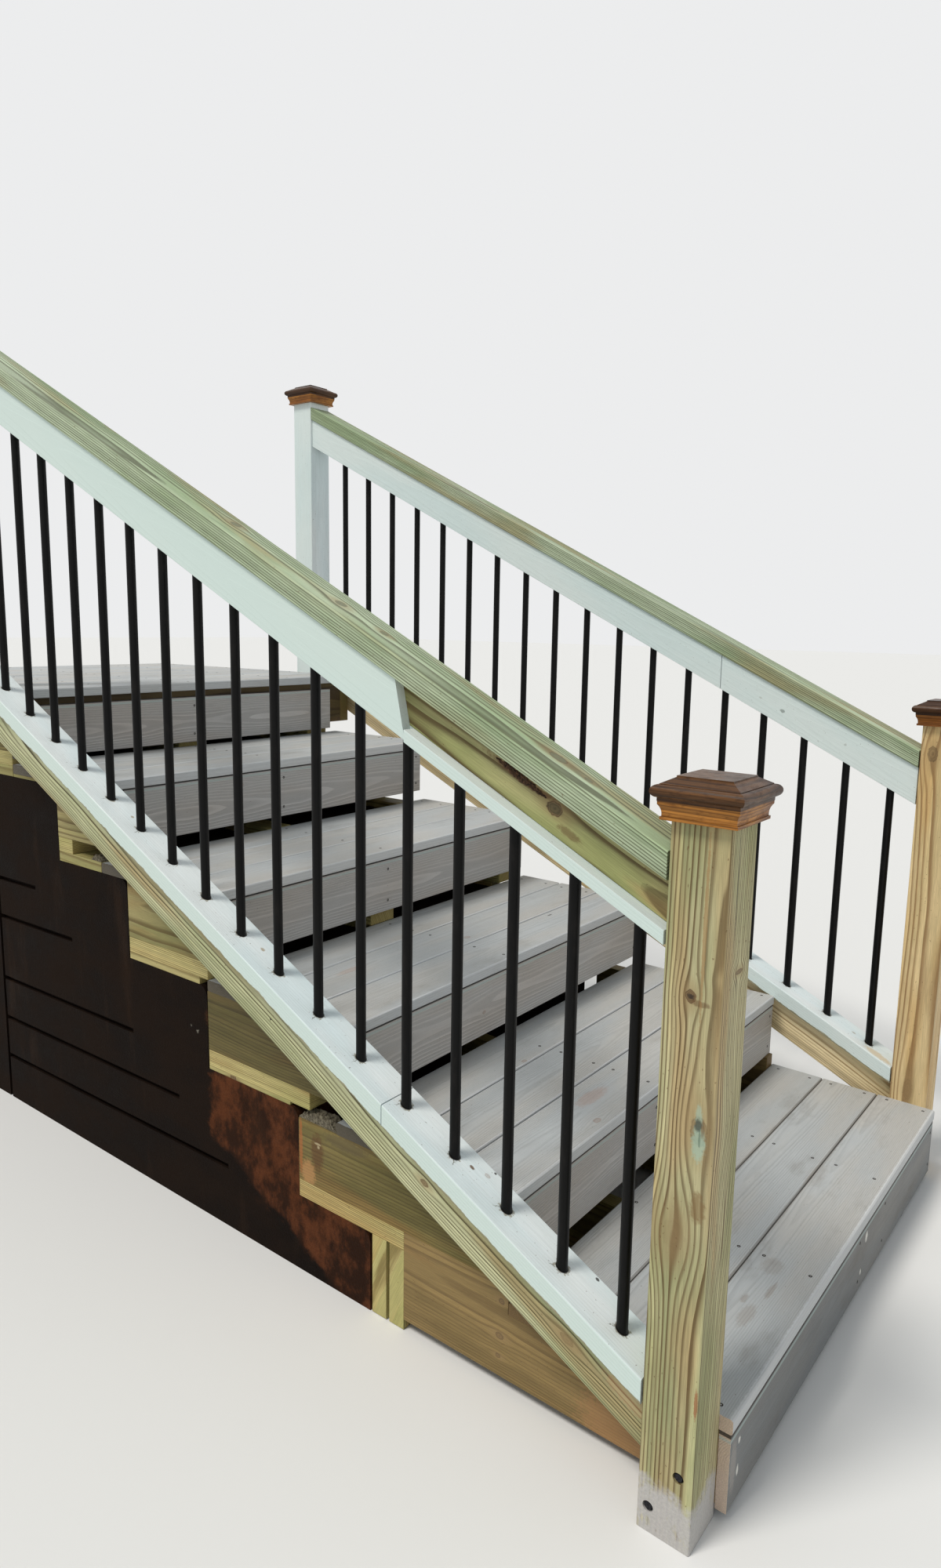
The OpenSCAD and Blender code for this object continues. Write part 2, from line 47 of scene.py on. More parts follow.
# Camera, solved from the photograph
CAMERA_PLACE = (-1.9289, -2.0818, 1.3778)
CAMERA_YAW = math.radians(52.252)
CAMERA_PITCH = math.radians(9.316)
CAMERA_ROLL = math.radians(-0.9385)
CAMERA_LENS = 22.506
CAMERA_SENSOR = 36
CAMERA_CLIP = (0.05, 200)

# Directions in the shared frame
ACROSS = Vector((1, 0, 0))
ALONG = Vector((0, 1, 0))
UP = Vector((0, 0, 1))

BOARD_W = 0.1397
STOCK_T = 0.0381
BALUSTER_R = 0.0095
BALUSTER_PITCH = 0.1143
JOIST_MIDDLE = 0.572
BOLT_BORE_DEPTH = 0.014


def lowest(node):
    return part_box(node)[0]


def highest(node):
    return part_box(node)[1]


NEAR = lowest("tread_1").x
FAR = highest("tread_1").x


def climb(node):
    """Directions along a sloping board and square to it, from the highest points of its two ends."""
    points = [v.co for v in nodes[node].data.vertices]
    ends = [min(p.y for p in points), max(p.y for p in points)]
    tops = [max(p.z for p in points if abs(p.y - end) < 1e-4) for end in ends]
    along = Vector((0, ends[1] - ends[0], tops[1] - tops[0])).normalized()
    return along, ACROSS.cross(along)


# Shader node helpers

class Graph:
    """A node tree with short calls for the nodes that the materials use."""

    def __init__(self, tree):
        self.tree = tree

    def put(self, socket, value):
        if isinstance(value, bpy.types.NodeSocket):
            self.tree.links.new(value, socket)
        elif socket.type == "RGBA" and len(value) == 3:
            socket.default_value = (*value, 1)
        else:
            socket.default_value = value

    def add(self, kind, inputs=None, **settings):
        """A shader node with its settings and inputs."""
        node = self.tree.nodes.new("ShaderNode" + kind)
        for key, value in settings.items():
            setattr(node, key, value)
        for key, value in (inputs or {}).items():
            self.put(node.inputs[key], value)
        return node

    def math(self, operation, a, b=None, c=None, clamp=False):
        inputs = {i: value for i, value in enumerate((a, b, c)) if value is not None}
        return self.add("Math", inputs, operation=operation, use_clamp=clamp).outputs[0]

    def times(self, a, b):
        return self.math("MULTIPLY", a, b)

    def times_plus(self, a, b, c):
        return self.math("MULTIPLY_ADD", a, b, c)

    def plus(self, a, b):
        return self.math("ADD", a, b)

    def minus(self, a, b):
        return self.math("SUBTRACT", a, b)

    def vec(self, operation, a, b=None):
        inputs = {0: a} if b is None else {0: a, 1: b}
        outputs = self.add("VectorMath", inputs, operation=operation).outputs
        return outputs["Value" if operation in ("DOT_PRODUCT", "LENGTH", "DISTANCE") else "Vector"]

    def scale(self, vector, factor):
        return self.add("VectorMath", {0: vector, "Scale": factor}, operation="SCALE").outputs["Vector"]

    def mix(self, factor, a, b, blend="MIX"):
        inputs = {0: factor, 6: a, 7: b}
        return self.add("Mix", inputs, data_type="RGBA", blend_type=blend).outputs[2]

    def shade(self, colour, factor):
        """The colour times a grey factor."""
        return self.mix(1, colour, self.combine(factor, factor, factor), "MULTIPLY")

    def noise(self, place, scales, detail=2, rough=0.5, colour=False):
        node = self.add(
            "TexNoise",
            {"Vector": self.vec("MULTIPLY", place, scales), "Scale": 1, "Detail": detail,
             "Roughness": rough},
        )
        return node.outputs["Color" if colour else "Fac"]

    def span(self, value, low, high, to_low=0, to_high=1):
        """Smooth step from to_low at low to to_high at high."""
        node = self.add(
            "MapRange",
            {"Value": value, "From Min": low, "From Max": high, "To Min": to_low, "To Max": to_high},
            interpolation_type="SMOOTHSTEP",
        )
        return node.outputs["Result"]

    def combine(self, x, y, z):
        return self.add("CombineXYZ", {0: x, 1: y, 2: z}).outputs[0]

    def separate(self, vector):
        return self.add("SeparateXYZ", {0: vector}).outputs

    def white(self, seed):
        """Three random values that depend only on the seed."""
        node = self.add("TexWhiteNoise", {"W": seed}, noise_dimensions="1D")
        return self.separate(node.outputs["Color"])

    def group(self, name, inputs):
        return self.add("Group", inputs, node_tree=bpy.data.node_groups[name]).outputs

    def place(self):
        return self.add("TexCoord").outputs["Object"]


def new_group(name, inputs, outputs):
    """An empty node group, as a graph, with its input and output sockets."""
    tree = bpy.data.node_groups.new(name, "ShaderNodeTree")
    for way, sockets in (("INPUT", inputs), ("OUTPUT", outputs)):
        for key, kind in sockets.items():
            tree.interface.new_socket(key, in_out=way, socket_type="NodeSocket" + kind)
    into = tree.nodes.new("NodeGroupInput").outputs
    return Graph(tree), into, tree.nodes.new("NodeGroupOutput").inputs


def make_grain_group():
    """Growth rings of a sawn board as a solid texture: cylinders round a pith, with a slow wander.
    Push moves the place in the log that a point shows, so that rings flow round a knot."""
    g, into, out = new_group(
        "grain",
        {"Coord": "Vector", "Seed": "Float", "Spacing": "Float", "Pith": "Vector",
         "Spread": "Float", "Wander": "Float", "Push": "Vector"},
        {"Ring": "Float", "Year": "Float", "Fibre": "Float", "Patch": "Float", "Coord": "Vector"},
    )
    rand = g.white(into["Seed"])
    coord = g.vec("ADD", into["Coord"], g.combine(g.times(rand[0], 40), 0, 0))
    sway = g.noise(coord, (1.6, 4, 4), 1.5, colour=True)
    sway = g.scale(g.vec("SUBTRACT", sway, (0.5, 0.5, 0.5)), g.times(into["Wander"], 2))
    own = g.combine(0, g.minus(rand[1], 0.5), g.minus(rand[2], 0.5))
    pith = g.vec("ADD", into["Pith"], g.scale(own, into["Spread"]))
    at = g.vec("SUBTRACT", g.vec("ADD", g.vec("ADD", into["Coord"], sway), into["Push"]), pith)
    lean = g.times_plus(rand[1], 0.03, -0.015)
    lean = g.times(g.separate(into["Coord"])[0], lean)
    here = g.separate(at)
    radius = g.vec("LENGTH", g.combine(0, here[1], g.plus(here[2], lean)))
    ripple = g.minus(g.noise(coord, (5, 45, 45)), 0.5)
    count = g.times_plus(ripple, 0.35, g.math("DIVIDE", radius, into["Spacing"]))
    part = g.math("FRACT", count)
    year = g.white(g.times_plus(into["Seed"], 17.3, g.math("FLOOR", count)))
    ring = g.times(g.span(part, 0.42, 0.82), g.span(part, 0.92, 1, 1, 0))
    g.put(out["Ring"], g.times(ring, g.times_plus(year[0], 0.45, 0.55)))
    g.put(out["Year"], year[1])
    g.put(out["Fibre"], g.noise(coord, (22, 800, 800), 2, 0.6))
    g.put(out["Patch"], g.noise(coord, (2.2, 9, 9), 3, 0.55))
    g.put(out["Coord"], coord)


KNOT_OUTPUTS = {"Push": "Vector", "Core": "Float", "Tone": "Float", "Near": "Float"}


def make_knot_group():
    """One knot: how far it pushes the rings aside, its core, the tone inside and how near it is."""
    inputs = {"Coord": "Vector", "Centre": "Vector", "Size": "Vector", "Dark": "Float"}
    g, into, out = new_group("knot", inputs, KNOT_OUTPUTS)
    offset = g.vec("SUBTRACT", into["Coord"], into["Centre"])
    knot_outputs(g, into["Coord"], out, offset, g.vec("DIVIDE", offset, into["Size"]), 1, into["Dark"])


def make_scatter_group():
    """Knots scattered over a board, about three a metre where Density is 1."""
    inputs = {"Coord": "Vector", "Density": "Float", "Radius": "Float"}
    g, into, out = new_group("scatter", inputs, KNOT_OUTPUTS)
    stretch = (3.4, 5, 1)
    place = g.vec("MULTIPLY", into["Coord"], stretch)
    inputs = {"Vector": place, "Scale": 1, "Randomness": 0.9}
    cells = g.add("TexVoronoi", inputs, voronoi_dimensions="2D")
    spot = g.separate(cells.outputs["Position"])
    here = g.separate(place)
    offset = g.combine(g.minus(here[0], spot[0]), g.minus(here[1], spot[1]), 0)
    offset = g.vec("DIVIDE", offset, stretch)
    rand = g.separate(cells.outputs["Color"])
    keep = g.math("LESS_THAN", rand[0], into["Density"])
    radius = g.times(into["Radius"], g.times_plus(rand[1], 0.9, 0.5))
    long = g.times(radius, 1.5)
    away = g.vec("DIVIDE", offset, g.combine(long, radius, 1))
    knot_outputs(g, into["Coord"], out, offset, away, keep, 1)


def knot_outputs(g, coord, out, offset, away, keep, dark):
    """Fills a knot group's outputs. away is the offset from the knot in units of its radii."""
    far = g.math("DIVIDE", g.vec("LENGTH", g.vec("MULTIPLY", away, (0.6, 1, 1))), 2.2)
    near = g.math("EXPONENT", g.times(g.times(far, far), -1))
    near = g.times(near, keep)
    push = g.scale(g.vec("MULTIPLY", offset, (0, 1, 1)), g.times(near, -0.9))
    ragged = g.minus(g.noise(coord, (160,) * 3), 0.5)
    edge = g.times_plus(ragged, 0.5, g.vec("LENGTH", away))
    core = g.times(g.span(edge, 0.85, 1.1, 1, 0), keep)
    wave = g.times_plus(g.math("SINE", g.times(edge, 13)), 0.2, 0.5)
    rim = g.span(edge, 0.75, 0.95)
    g.put(out["Push"], push)
    g.put(out["Core"], g.times(core, dark))
    g.put(out["Tone"], g.times(g.math("ADD", wave, rim, clamp=True), core))
    g.put(out["Near"], near)


make_grain_group()
make_knot_group()
make_scatter_group()


GRAIN, WIDE, DEEP = range(3)


class Board:
    """Coordinates in a node's boards: x along the grain, y across the wide face and z through it.
    pitches says along which of these axes, GRAIN, WIDE or DEEP, a node repeats its boards, and how
    far apart."""

    def __init__(self, g, node, grain, wide, pitches, seed):
        self.node = node
        self.axes = [grain, wide, grain.cross(wide)]
        points = [v.co for v in nodes[node].data.vertices]
        here = g.place()
        parts, whole = [], []
        for i, axis in enumerate(self.axes):
            reach = [p.dot(axis) for p in points]
            low, high = min(reach), max(reach)
            value = g.vec("DOT_PRODUCT", here, axis)
            whole.append(value)
            pitch = (pitches or {}).get(i)
            if pitch:
                start = low - (pitch - (high - low) % pitch) / 2 if i else low
                index = g.math("FLOOR", g.math("DIVIDE", g.minus(value, start), pitch))
                middle = g.times_plus(g.plus(index, 0.5), pitch, start)
                value = g.minus(value, middle)
                seed = g.times_plus(index, 3.37 + 5.1 * i, seed)
            else:
                value = g.minus(value, (low + high) / 2)
            parts.append(value)
        self.coord = g.combine(*parts)
        self.whole = g.combine(*whole)
        self.parts = parts
        self.seed = g.plus(seed, 0)
        self.here = here
        self.normal = g.add("NewGeometry").outputs["Normal"]

    def local(self, point):
        """A point of the shared frame along the board's axes, to compare with whole."""
        return Vector([Vector(point).dot(a) for a in self.axes])

    def facing(self, g, axis, low=0.75, high=0.9):
        """1 on the faces that look along the axis, either way."""
        return g.span(g.math("ABSOLUTE", g.vec("DOT_PRODUCT", self.normal, axis)), low, high)


# By node: a knot's place, half sizes and darkness, and a mark's place, half sizes, tint and strength
KNOTS = {}
MARKS = {}


def knots_of(g, board, density, radius):
    """Push, core, tone and nearness of a board's knots: placed ones and scattered ones. Half sizes
    are along the board's axes."""
    push, core, tone, near = (0, 0, 0), 0, 0, 0
    if density:
        rand = g.white(g.plus(board.seed, 0.7))
        far = g.combine(g.times(rand[0], 90), g.times(rand[1], 60), 0)
        spots = g.group(
            "scatter",
            {"Coord": g.vec("ADD", board.coord, far), "Density": density, "Radius": radius},
        )
        push, core, tone, near = (spots[key] for key in KNOT_OUTPUTS)
    for point, size, dark in KNOTS.get(board.node, ()):
        spot = g.group("knot", {"Coord": board.whole, "Centre": board.local(point),
                                "Size": Vector(size), "Dark": dark})
        push = g.vec("ADD", spot["Push"], push)
        core = g.math("MAXIMUM", spot["Core"], core)
        tone = g.math("MAXIMUM", spot["Tone"], tone)
        near = g.math("MAXIMUM", spot["Near"], near)
    return push, core, tone, near


def with_marks(g, board, colour):
    """Mixes the tint of each of the board's marks over the colour, with a ragged edge."""
    marks = MARKS.get(board.node)
    if not marks:
        return colour
    ragged = g.minus(g.noise(board.whole, (150,) * 3, 3, 0.7), 0.5)
    for point, size, tint, strength in marks:
        away = g.vec("SUBTRACT", board.whole, board.local(point))
        away = g.vec("LENGTH", g.vec("DIVIDE", away, Vector(size)))
        edge = g.times_plus(ragged, 1.1, away)
        colour = g.mix(g.span(edge, 0.6, 1.15, strength, 0), colour, tint)
    return colour


def grain_of(g, board, spacing, pith, spread, wander, push=(0, 0, 0)):
    """The growth rings of a board. Push is what its knots do to them."""
    return g.group(
        "grain",
        {"Coord": board.coord, "Seed": board.seed, "Spacing": spacing, "Pith": pith,
         "Spread": spread, "Wander": wander, "Push": push},
    )


def scaled(colour, factor):
    return tuple(c * factor for c in colour)


def surface(g, colour, rough, height, depth, sheen=0.3):
    """Principled surface with a bump of the given depth in metres. sheen is its specular level."""
    bump = g.add("Bump", {"Height": height, "Distance": depth, "Strength": 1})
    shader = g.add(
        "BsdfPrincipled",
        {"Base Color": colour, "Roughness": rough, "Normal": bump.outputs["Normal"],
         "Specular IOR Level": sheen},
    )
    g.put(g.add("OutputMaterial").inputs["Surface"], shader.outputs[0])


def new_material(name):
    material = bpy.data.materials.new(name)
    material.use_nodes = True
    material.node_tree.nodes.clear()
    return material, Graph(material.node_tree)


def give(node, material):
    """Puts a material on a CAD node."""
    mesh = nodes[node].data
    mesh.materials.clear()
    mesh.materials.append(material)


def finish_board(g, board, material, touch, looks, depth):
    """Adds a board's marks and its own touch to colour, height and roughness, and puts it on the node."""
    colour, height, rough = looks
    colour = with_marks(g, board, colour)
    if touch:
        colour, height, rough = touch(g, board, colour, height, rough)
    surface(g, colour, rough, height, depth)
    give(board.node, material)


# Wood that shows: treated pine. A palette is pale and deep early wood, warm patches and late wood.

GREENISH = ((0.56, 0.51, 0.29), (0.37, 0.38, 0.19), (0.52, 0.37, 0.18), (0.105, 0.06, 0.018))
RAIL_SIDE = ((0.55, 0.55, 0.33), (0.38, 0.41, 0.22), (0.38, 0.28, 0.13), (0.08, 0.066, 0.022))
MINTY = ((0.47, 0.55, 0.38), (0.32, 0.41, 0.24), (0.38, 0.33, 0.17), (0.075, 0.078, 0.034))
SHADED = ((0.45, 0.41, 0.2), (0.29, 0.3, 0.12), (0.38, 0.25, 0.1), (0.095, 0.062, 0.02))
YELLOW = ((0.53, 0.45, 0.19), (0.4, 0.37, 0.14), (0.46, 0.31, 0.11), (0.17, 0.115, 0.03))
OLIVE = ((0.25, 0.195, 0.062), (0.18, 0.15, 0.045), (0.28, 0.17, 0.05), (0.075, 0.05, 0.014))
ORANGE = ((0.27, 0.185, 0.07), (0.2, 0.14, 0.051), (0.29, 0.16, 0.055), (0.105, 0.06, 0.022))
# The next palette is lightened as painted sunlight, for the far low newel.
HONEY_AND_PAINTED_SUN = ((0.76, 0.58, 0.31), (0.65, 0.5, 0.25), (0.62, 0.4, 0.16), (0.22, 0.1, 0.028))
CREAM = ((0.78, 0.65, 0.4), (0.68, 0.56, 0.32), (0.66, 0.48, 0.24), (0.36, 0.23, 0.1))
PINE_RELIEF = 0.0006
KNOT_DARK = (0.07, 0.04, 0.018)
KNOT_RED = (0.3, 0.2, 0.09)
KNOT_GREEN = (0.17, 0.21, 0.135)

# Tints of the marks
MINT = (0.36, 0.53, 0.43)
BROWN = (0.13, 0.065, 0.024)
TAN = (0.33, 0.18, 0.065)
RUSTY = (0.3, 0.075, 0.02)
BLACK = (0.018, 0.013, 0.01)
DEEP_MINT = (0.1, 0.15, 0.11)
RESIN = (0.2, 0.115, 0.042)
PEACH = (0.52, 0.27, 0.13)
KNOT_SHADE = (0.055, 0.06, 0.03)
SUNLIT = (0.38, 0.2, 0.085)
CHIPPED = (0.3, 0.22, 0.1)
CHIPPED_GREY = (0.3, 0.24, 0.16)
SAWDUST = (0.62, 0.5, 0.3)
SOOT = (0.06, 0.05, 0.045)
DENT = (0.3, 0.29, 0.28)
PALE_DENT = (0.4, 0.38, 0.36)
BURNT = (0.1, 0.04, 0.012)
SCAR = (0.48, 0.4, 0.24)
LIT_WOOD = (0.5, 0.26, 0.1)
RUST_LINE = (0.36, 0.12, 0.03)
DAMP = (0.1, 0.075, 0.035)
WORN_GREY = (0.36, 0.33, 0.3)
PINK_STAIN = (0.42, 0.25, 0.18)
PINK_WASH = (0.4, 0.26, 0.2)
FILLER = (0.74, 0.72, 0.66)
MUD = (0.19, 0.125, 0.07)
RAW = (0.72, 0.57, 0.45)
OLD_RAW = (0.1, 0.085, 0.06)
SKIRT_BROWN = (0.2, 0.125, 0.048)
# A painted highlight along the platform deck's rounded front edge.
PAINTED_EDGE_HIGHLIGHT = (0.66, 0.68, 0.69)


def pine(node, grain, wide, palette, seed, pitches=None, spacing=0.005, pith=(0, 0.02, 0.06),
         spread=0.05, wander=0.006, contrast=0.85, density=0.3, radius=0.008, shade=1, touch=None):
    """Bare treated pine: pale green and yellow early wood, dark late wood, knots and drying marks."""
    material, g = new_material("pine_" + node)
    board = Board(g, node, grain, wide, pitches, seed)
    # shade darkens the whole palette: painted shade for boards that lie in shadow.
    pale, deep, warm, late = (scaled(c, shade) for c in palette)
    push, core, tone, near = knots_of(g, board, density, radius)
    wood = grain_of(g, board, spacing, pith, spread, wander, push)
    coord = wood["Coord"]
    warmth = g.span(g.noise(coord, (1.7, 14, 14), 2, 0.6), 0.5, 0.68, 0, 0.75)
    colour = g.mix(g.span(wood["Patch"], 0.36, 0.62), pale, deep)
    colour = g.mix(warmth, colour, warm)
    colour = g.shade(colour, g.times_plus(wood["Year"], 0.3, 0.85))
    colour = g.mix(g.times(wood["Ring"], contrast), colour, late)
    colour = g.shade(colour, g.span(wood["Fibre"], 0.35, 0.7, 0.86, 1.1))
    colour = g.mix(g.span(near, 0.35, 1, 0, 0.5), colour, scaled(KNOT_RED, shade))
    colour = g.mix(core, colour, g.mix(tone, scaled(KNOT_RED, shade), KNOT_DARK))
    ends = g.times(board.facing(g, grain), 0.45)
    colour = g.mix(ends, colour, scaled(late, 1.3))
    speck = g.noise(coord, (140, 260, 260), 1)
    colour = g.mix(g.span(speck, 0.74, 0.77, 0, 0.6), colour, BROWN)
    height = g.times_plus(wood["Fibre"], 0.5, g.times(wood["Ring"], 0.5))
    height = g.times_plus(core, -0.6, height)
    rough = g.span(wood["Patch"], 0.3, 0.7, 0.56, 0.7)
    finish_board(g, board, material, touch, (colour, height, rough), PINE_RELIEF)


# Painted wood

GREY = (0.445, 0.465, 0.47)
GREY_WARM = (0.475, 0.468, 0.445)
RISER_GREY = (0.425, 0.412, 0.4)
RISER_WARM = (0.42, 0.388, 0.36)
WHITE = (0.66, 0.755, 0.765)
WHITE_WARM = (0.74, 0.79, 0.785)
# The next colour is white made darker and greener for upright faces, as painted shade.
WHITE_SIDE_PAINTED_SHADE = (0.6, 0.715, 0.665)
DIRT = (0.14, 0.115, 0.085)
STAIN = (0.26, 0.13, 0.07)
# The next colour is a painted highlight on the long edges of deck boards.
PAINTED_SEAM_HIGHLIGHT = (0.72, 0.74, 0.76)
# The next colour is a painted highlight, for paint just below a deck's edge.
LIT_PAINT = (0.45, 0.56, 0.54)


def painted(node, grain, wide, paint, second, seed, pitches=None, spacing=0.0035,
            pith=(0, 0.02, 0.05), spread=0.05, wander=0.008, density=0.16, radius=0.007,
            relief=-0.13, dirt=0.3, shine=0.5, seam=0, depth=0.0006, touch=None):
    """Painted board: the grain shows through as relief and faint lines, with specks and dirt.
    relief is how much lighter the late wood's lines look. A seam above 0 paints a highlight on the long
    edges, one below 0 makes them dirty."""
    material, g = new_material("paint_" + node)
    board = Board(g, node, grain, wide, pitches, seed)
    push, core, tone, _ = knots_of(g, board, density, radius)
    wood = grain_of(g, board, spacing, pith, spread, wander, push)
    coord = wood["Coord"]
    rand = g.white(g.plus(board.seed, 3.3))
    colour = g.mix(g.span(wood["Patch"], 0.35, 0.65), paint, second)
    tint = g.times_plus(rand[0], 0.1, 0.95)
    line = g.times_plus(wood["Ring"], relief, tint)
    line = g.times(line, g.span(wood["Fibre"], 0.3, 0.7, 0.95, 1.04))
    colour = g.shade(colour, line)
    film = g.noise(coord, (5, 12, 12), 4, 0.65)
    colour = g.mix(g.span(film, 0.52, 0.78, 0, dirt), colour, DIRT)
    speck = g.noise(coord, (190, 300, 300), 1)
    colour = g.mix(g.span(speck, 0.74, 0.77, 0, 0.6), colour, DIRT)
    colour = g.mix(g.times(core, g.times_plus(tone, 0.45, 0.1)), colour, STAIN)
    # Pale long edges are a painted highlight; dark ones are dirt.
    if seam:
        across = g.math("ABSOLUTE", board.parts[WIDE])
        edge = g.span(across, BOARD_W / 2 - 0.0045, BOARD_W / 2 - 0.002, 0, abs(seam))
        colour = g.mix(edge, colour, PAINTED_SEAM_HIGHLIGHT if seam > 0 else DIRT)
    height = g.times_plus(wood["Fibre"], 0.35, g.times(wood["Ring"], 0.65))
    height = g.times_plus(core, 0.4, height)
    rough = g.span(film, 0.3, 0.7, shine, shine + 0.15)
    finish_board(g, board, material, touch, (colour, height, rough), depth)


# Stained caps, metal, masonry

MOULDING_STAIN = ((0.25, 0.085, 0.014), (0.5, 0.215, 0.04))
TOP_STAIN = ((0.05, 0.019, 0.006), (0.118, 0.052, 0.017))
BAR_TINTS = ((0.003, 0.003, 0.003), (0.014, 0.012, 0.011))


def stained(node, tints, spacing):
    """Oiled and stained post caps: strong lines, with darker stain low in the hollows."""
    dark, light = tints
    material, g = new_material("stain_" + node)
    board = Board(g, node, ALONG, ACROSS, {GRAIN: 1.2, WIDE: 0.7}, 4)
    wood = grain_of(g, board, spacing, (0, 0.01, -0.05), 0.06, 0.01)
    colour = g.mix(g.span(wood["Patch"], 0.35, 0.65), dark, light)
    colour = g.shade(colour, g.times_plus(wood["Year"], 0.5, 0.75))
    colour = g.mix(g.times(wood["Ring"], 0.75), colour, scaled(dark, 0.35))
    colour = g.shade(colour, g.span(wood["Fibre"], 0.35, 0.7, 0.75, 1.15))
    pool = g.noise(board.here, (55, 55, 160), 3, 0.6)
    colour = g.mix(g.span(pool, 0.5, 0.72, 0, 0.6), colour, scaled(dark, 0.5))
    height = g.times_plus(wood["Fibre"], 0.5, g.times(wood["Ring"], -0.4))
    rough = g.span(pool, 0.3, 0.7, 0.3, 0.42)
    surface(g, colour, rough, height, 0.0004, 0.22)
    give(node, material)


def black_metal(node):
    """Bars with a black coat and a little dust."""
    material, g = new_material("metal_" + node)
    here = g.place()
    dust = g.noise(here, (60, 60, 18), 3, 0.6)
    fine = g.noise(here, (900, 900, 300))
    colour = g.mix(g.span(dust, 0.5, 0.75, 0, 0.5), *BAR_TINTS)
    rough = g.span(dust, 0.3, 0.7, 0.34, 0.48)
    surface(g, colour, rough, fine, 0.00008, 0.14)
    give(node, material)


# Where the rust wash with painted sunlight over it starts: its top corner, how steeply its lower edge
# falls, and how deep it goes
RUST_AND_SUN_START = (-0.355, 0.2)
RUST_AND_SUN_FALL = 0.58
RUST_AND_SUN_SIDE = (0.02, 0.2)
RIM_SPOT = (NEAR, -0.3502, 0.4896)
LICHEN_SPOTS = (
    ((NEAR, -0.2742, 0.4537), 0.006),
    ((NEAR, -0.2971, 0.4468), 0.008),
)
STONE = ((0.006, 0.0034, 0.0022), (0.013, 0.0076, 0.005))
STONE_RUN = (0.03, 0.016, 0.009)
STONE_GRIT = (0.11, 0.085, 0.065)
RUST_AND_PAINTED_SUN = ((0.075, 0.022, 0.009), (0.15, 0.052, 0.02))
RIM_RUST = (0.15, 0.06, 0.022)
LICHEN = (0.36, 0.34, 0.28)
CEMENT = ((0.34, 0.33, 0.33), (0.62, 0.6, 0.58))


def masonry(node):
    """Old masonry, nearly black with damp, with rust and painted sunlight washed over the front of its
    side.
    """
    material, g = new_material("masonry_" + node)
    here = g.place()
    x, y, z = g.separate(here)
    coarse = g.noise(here, (7, 5, 9), 5, 0.62)
    grit = g.noise(here, (260,) * 3, 4, 0.65)
    run = g.noise(here, (9, 14, 2.5), 4, 0.6)
    broken = g.noise(here, (10, 10, 7), 5, 0.68)
    colour = g.mix(g.span(coarse, 0.35, 0.65), *STONE)
    colour = g.mix(g.span(run, 0.55, 0.75, 0, 0.5), colour, STONE_RUN)
    ragged = g.minus(coarse, 0.5)
    into = g.times_plus(ragged, 0.25, g.minus(RUST_AND_SUN_START[0], y))
    fall = g.times_plus(g.minus(RUST_AND_SUN_START[0], y), -RUST_AND_SUN_FALL, RUST_AND_SUN_START[1])
    above = g.times_plus(ragged, 0.2, g.minus(z, fall))
    # One patch of rust, lightened as painted sunlight where the sun fell.
    rust_and_sun = g.times(g.span(into, 0, 0.03), g.span(above, 0, 0.03))
    rust_and_sun = g.times(rust_and_sun, g.span(broken, 0.4, 0.58, 0.15, 0.9))
    rust_and_sun = g.times(rust_and_sun, g.span(x, NEAR + RUST_AND_SUN_SIDE[0], NEAR + RUST_AND_SUN_SIDE[1], 1, 0))
    colour = g.mix(rust_and_sun, colour, g.mix(grit, *RUST_AND_PAINTED_SUN))
    rim = g.times_plus(grit, 0.03, g.vec("DISTANCE", here, RIM_SPOT))
    colour = g.mix(g.span(rim, 0.015, 0.045, 0.6, 0), colour, RIM_RUST)
    for point, reach in LICHEN_SPOTS:
        away = g.times_plus(grit, 0.02, g.vec("DISTANCE", here, point))
        colour = g.mix(g.span(away, reach, reach + 0.008, 0.8, 0), colour, LICHEN)
    colour = g.mix(g.span(grit, 0.68, 0.78, 0, 0.4), colour, STONE_GRIT)
    height = g.times_plus(grit, 0.7, g.times(coarse, 1.4))
    rough = g.span(coarse, 0.3, 0.7, 0.62, 0.85)
    surface(g, colour, rough, height, 0.003, 0.05)
    give(node, material)


# Touches on single pieces

def newel_foot(g, board, colour, height, rough):
    """Cement smear on the near low newel, where it was set, with a ragged upper edge."""
    z = g.separate(board.here)[2]
    ragged = g.noise(board.here, (16, 16, 24), 4, 0.7)
    level = g.times_plus(ragged, -0.1, z)
    smear = g.span(level, 0.018, 0.046, 0.92, 0)
    grit = g.noise(board.here, (220,) * 3, 3, 0.7)
    cement = g.mix(grit, *CEMENT)
    bare = g.span(g.noise(board.here, (60, 60, 30), 3, 0.6), 0.55, 0.66, 0, 0.45)
    smear = g.times(smear, g.minus(1, bare))
    colour = g.mix(smear, colour, cement)
    height = g.times(height, g.minus(1, smear))
    height = g.plus(height, g.times(g.times(smear, grit), 0.8))
    return colour, height, rough


def painted_side_shade(g, board, colour):
    """Painted shade: upright faces along the railing get a darker, greener white, most so on the near
    side.
    """
    amount = g.span(g.separate(board.here)[0], -0.1, 0.1, 0.85, 0.4)
    return g.mix(board.facing(g, ACROSS, 0.5, 0.9), colour, g.mix(amount, colour, WHITE_SIDE_PAINTED_SHADE))


# Touch for white boards that adds only the painted shade on their upright faces.
def white_painted_side_shade(g, board, colour, height, rough):
    return painted_side_shade(g, board, colour), height, rough


CHIPPED_PINE = (0.24, 0.21, 0.13)
EDGE_PINE = (0.26, 0.21, 0.09)
CRACK = (0.1, 0.085, 0.05)
PAINTED_HOLE_SHADE = (0.02, 0.018, 0.015)


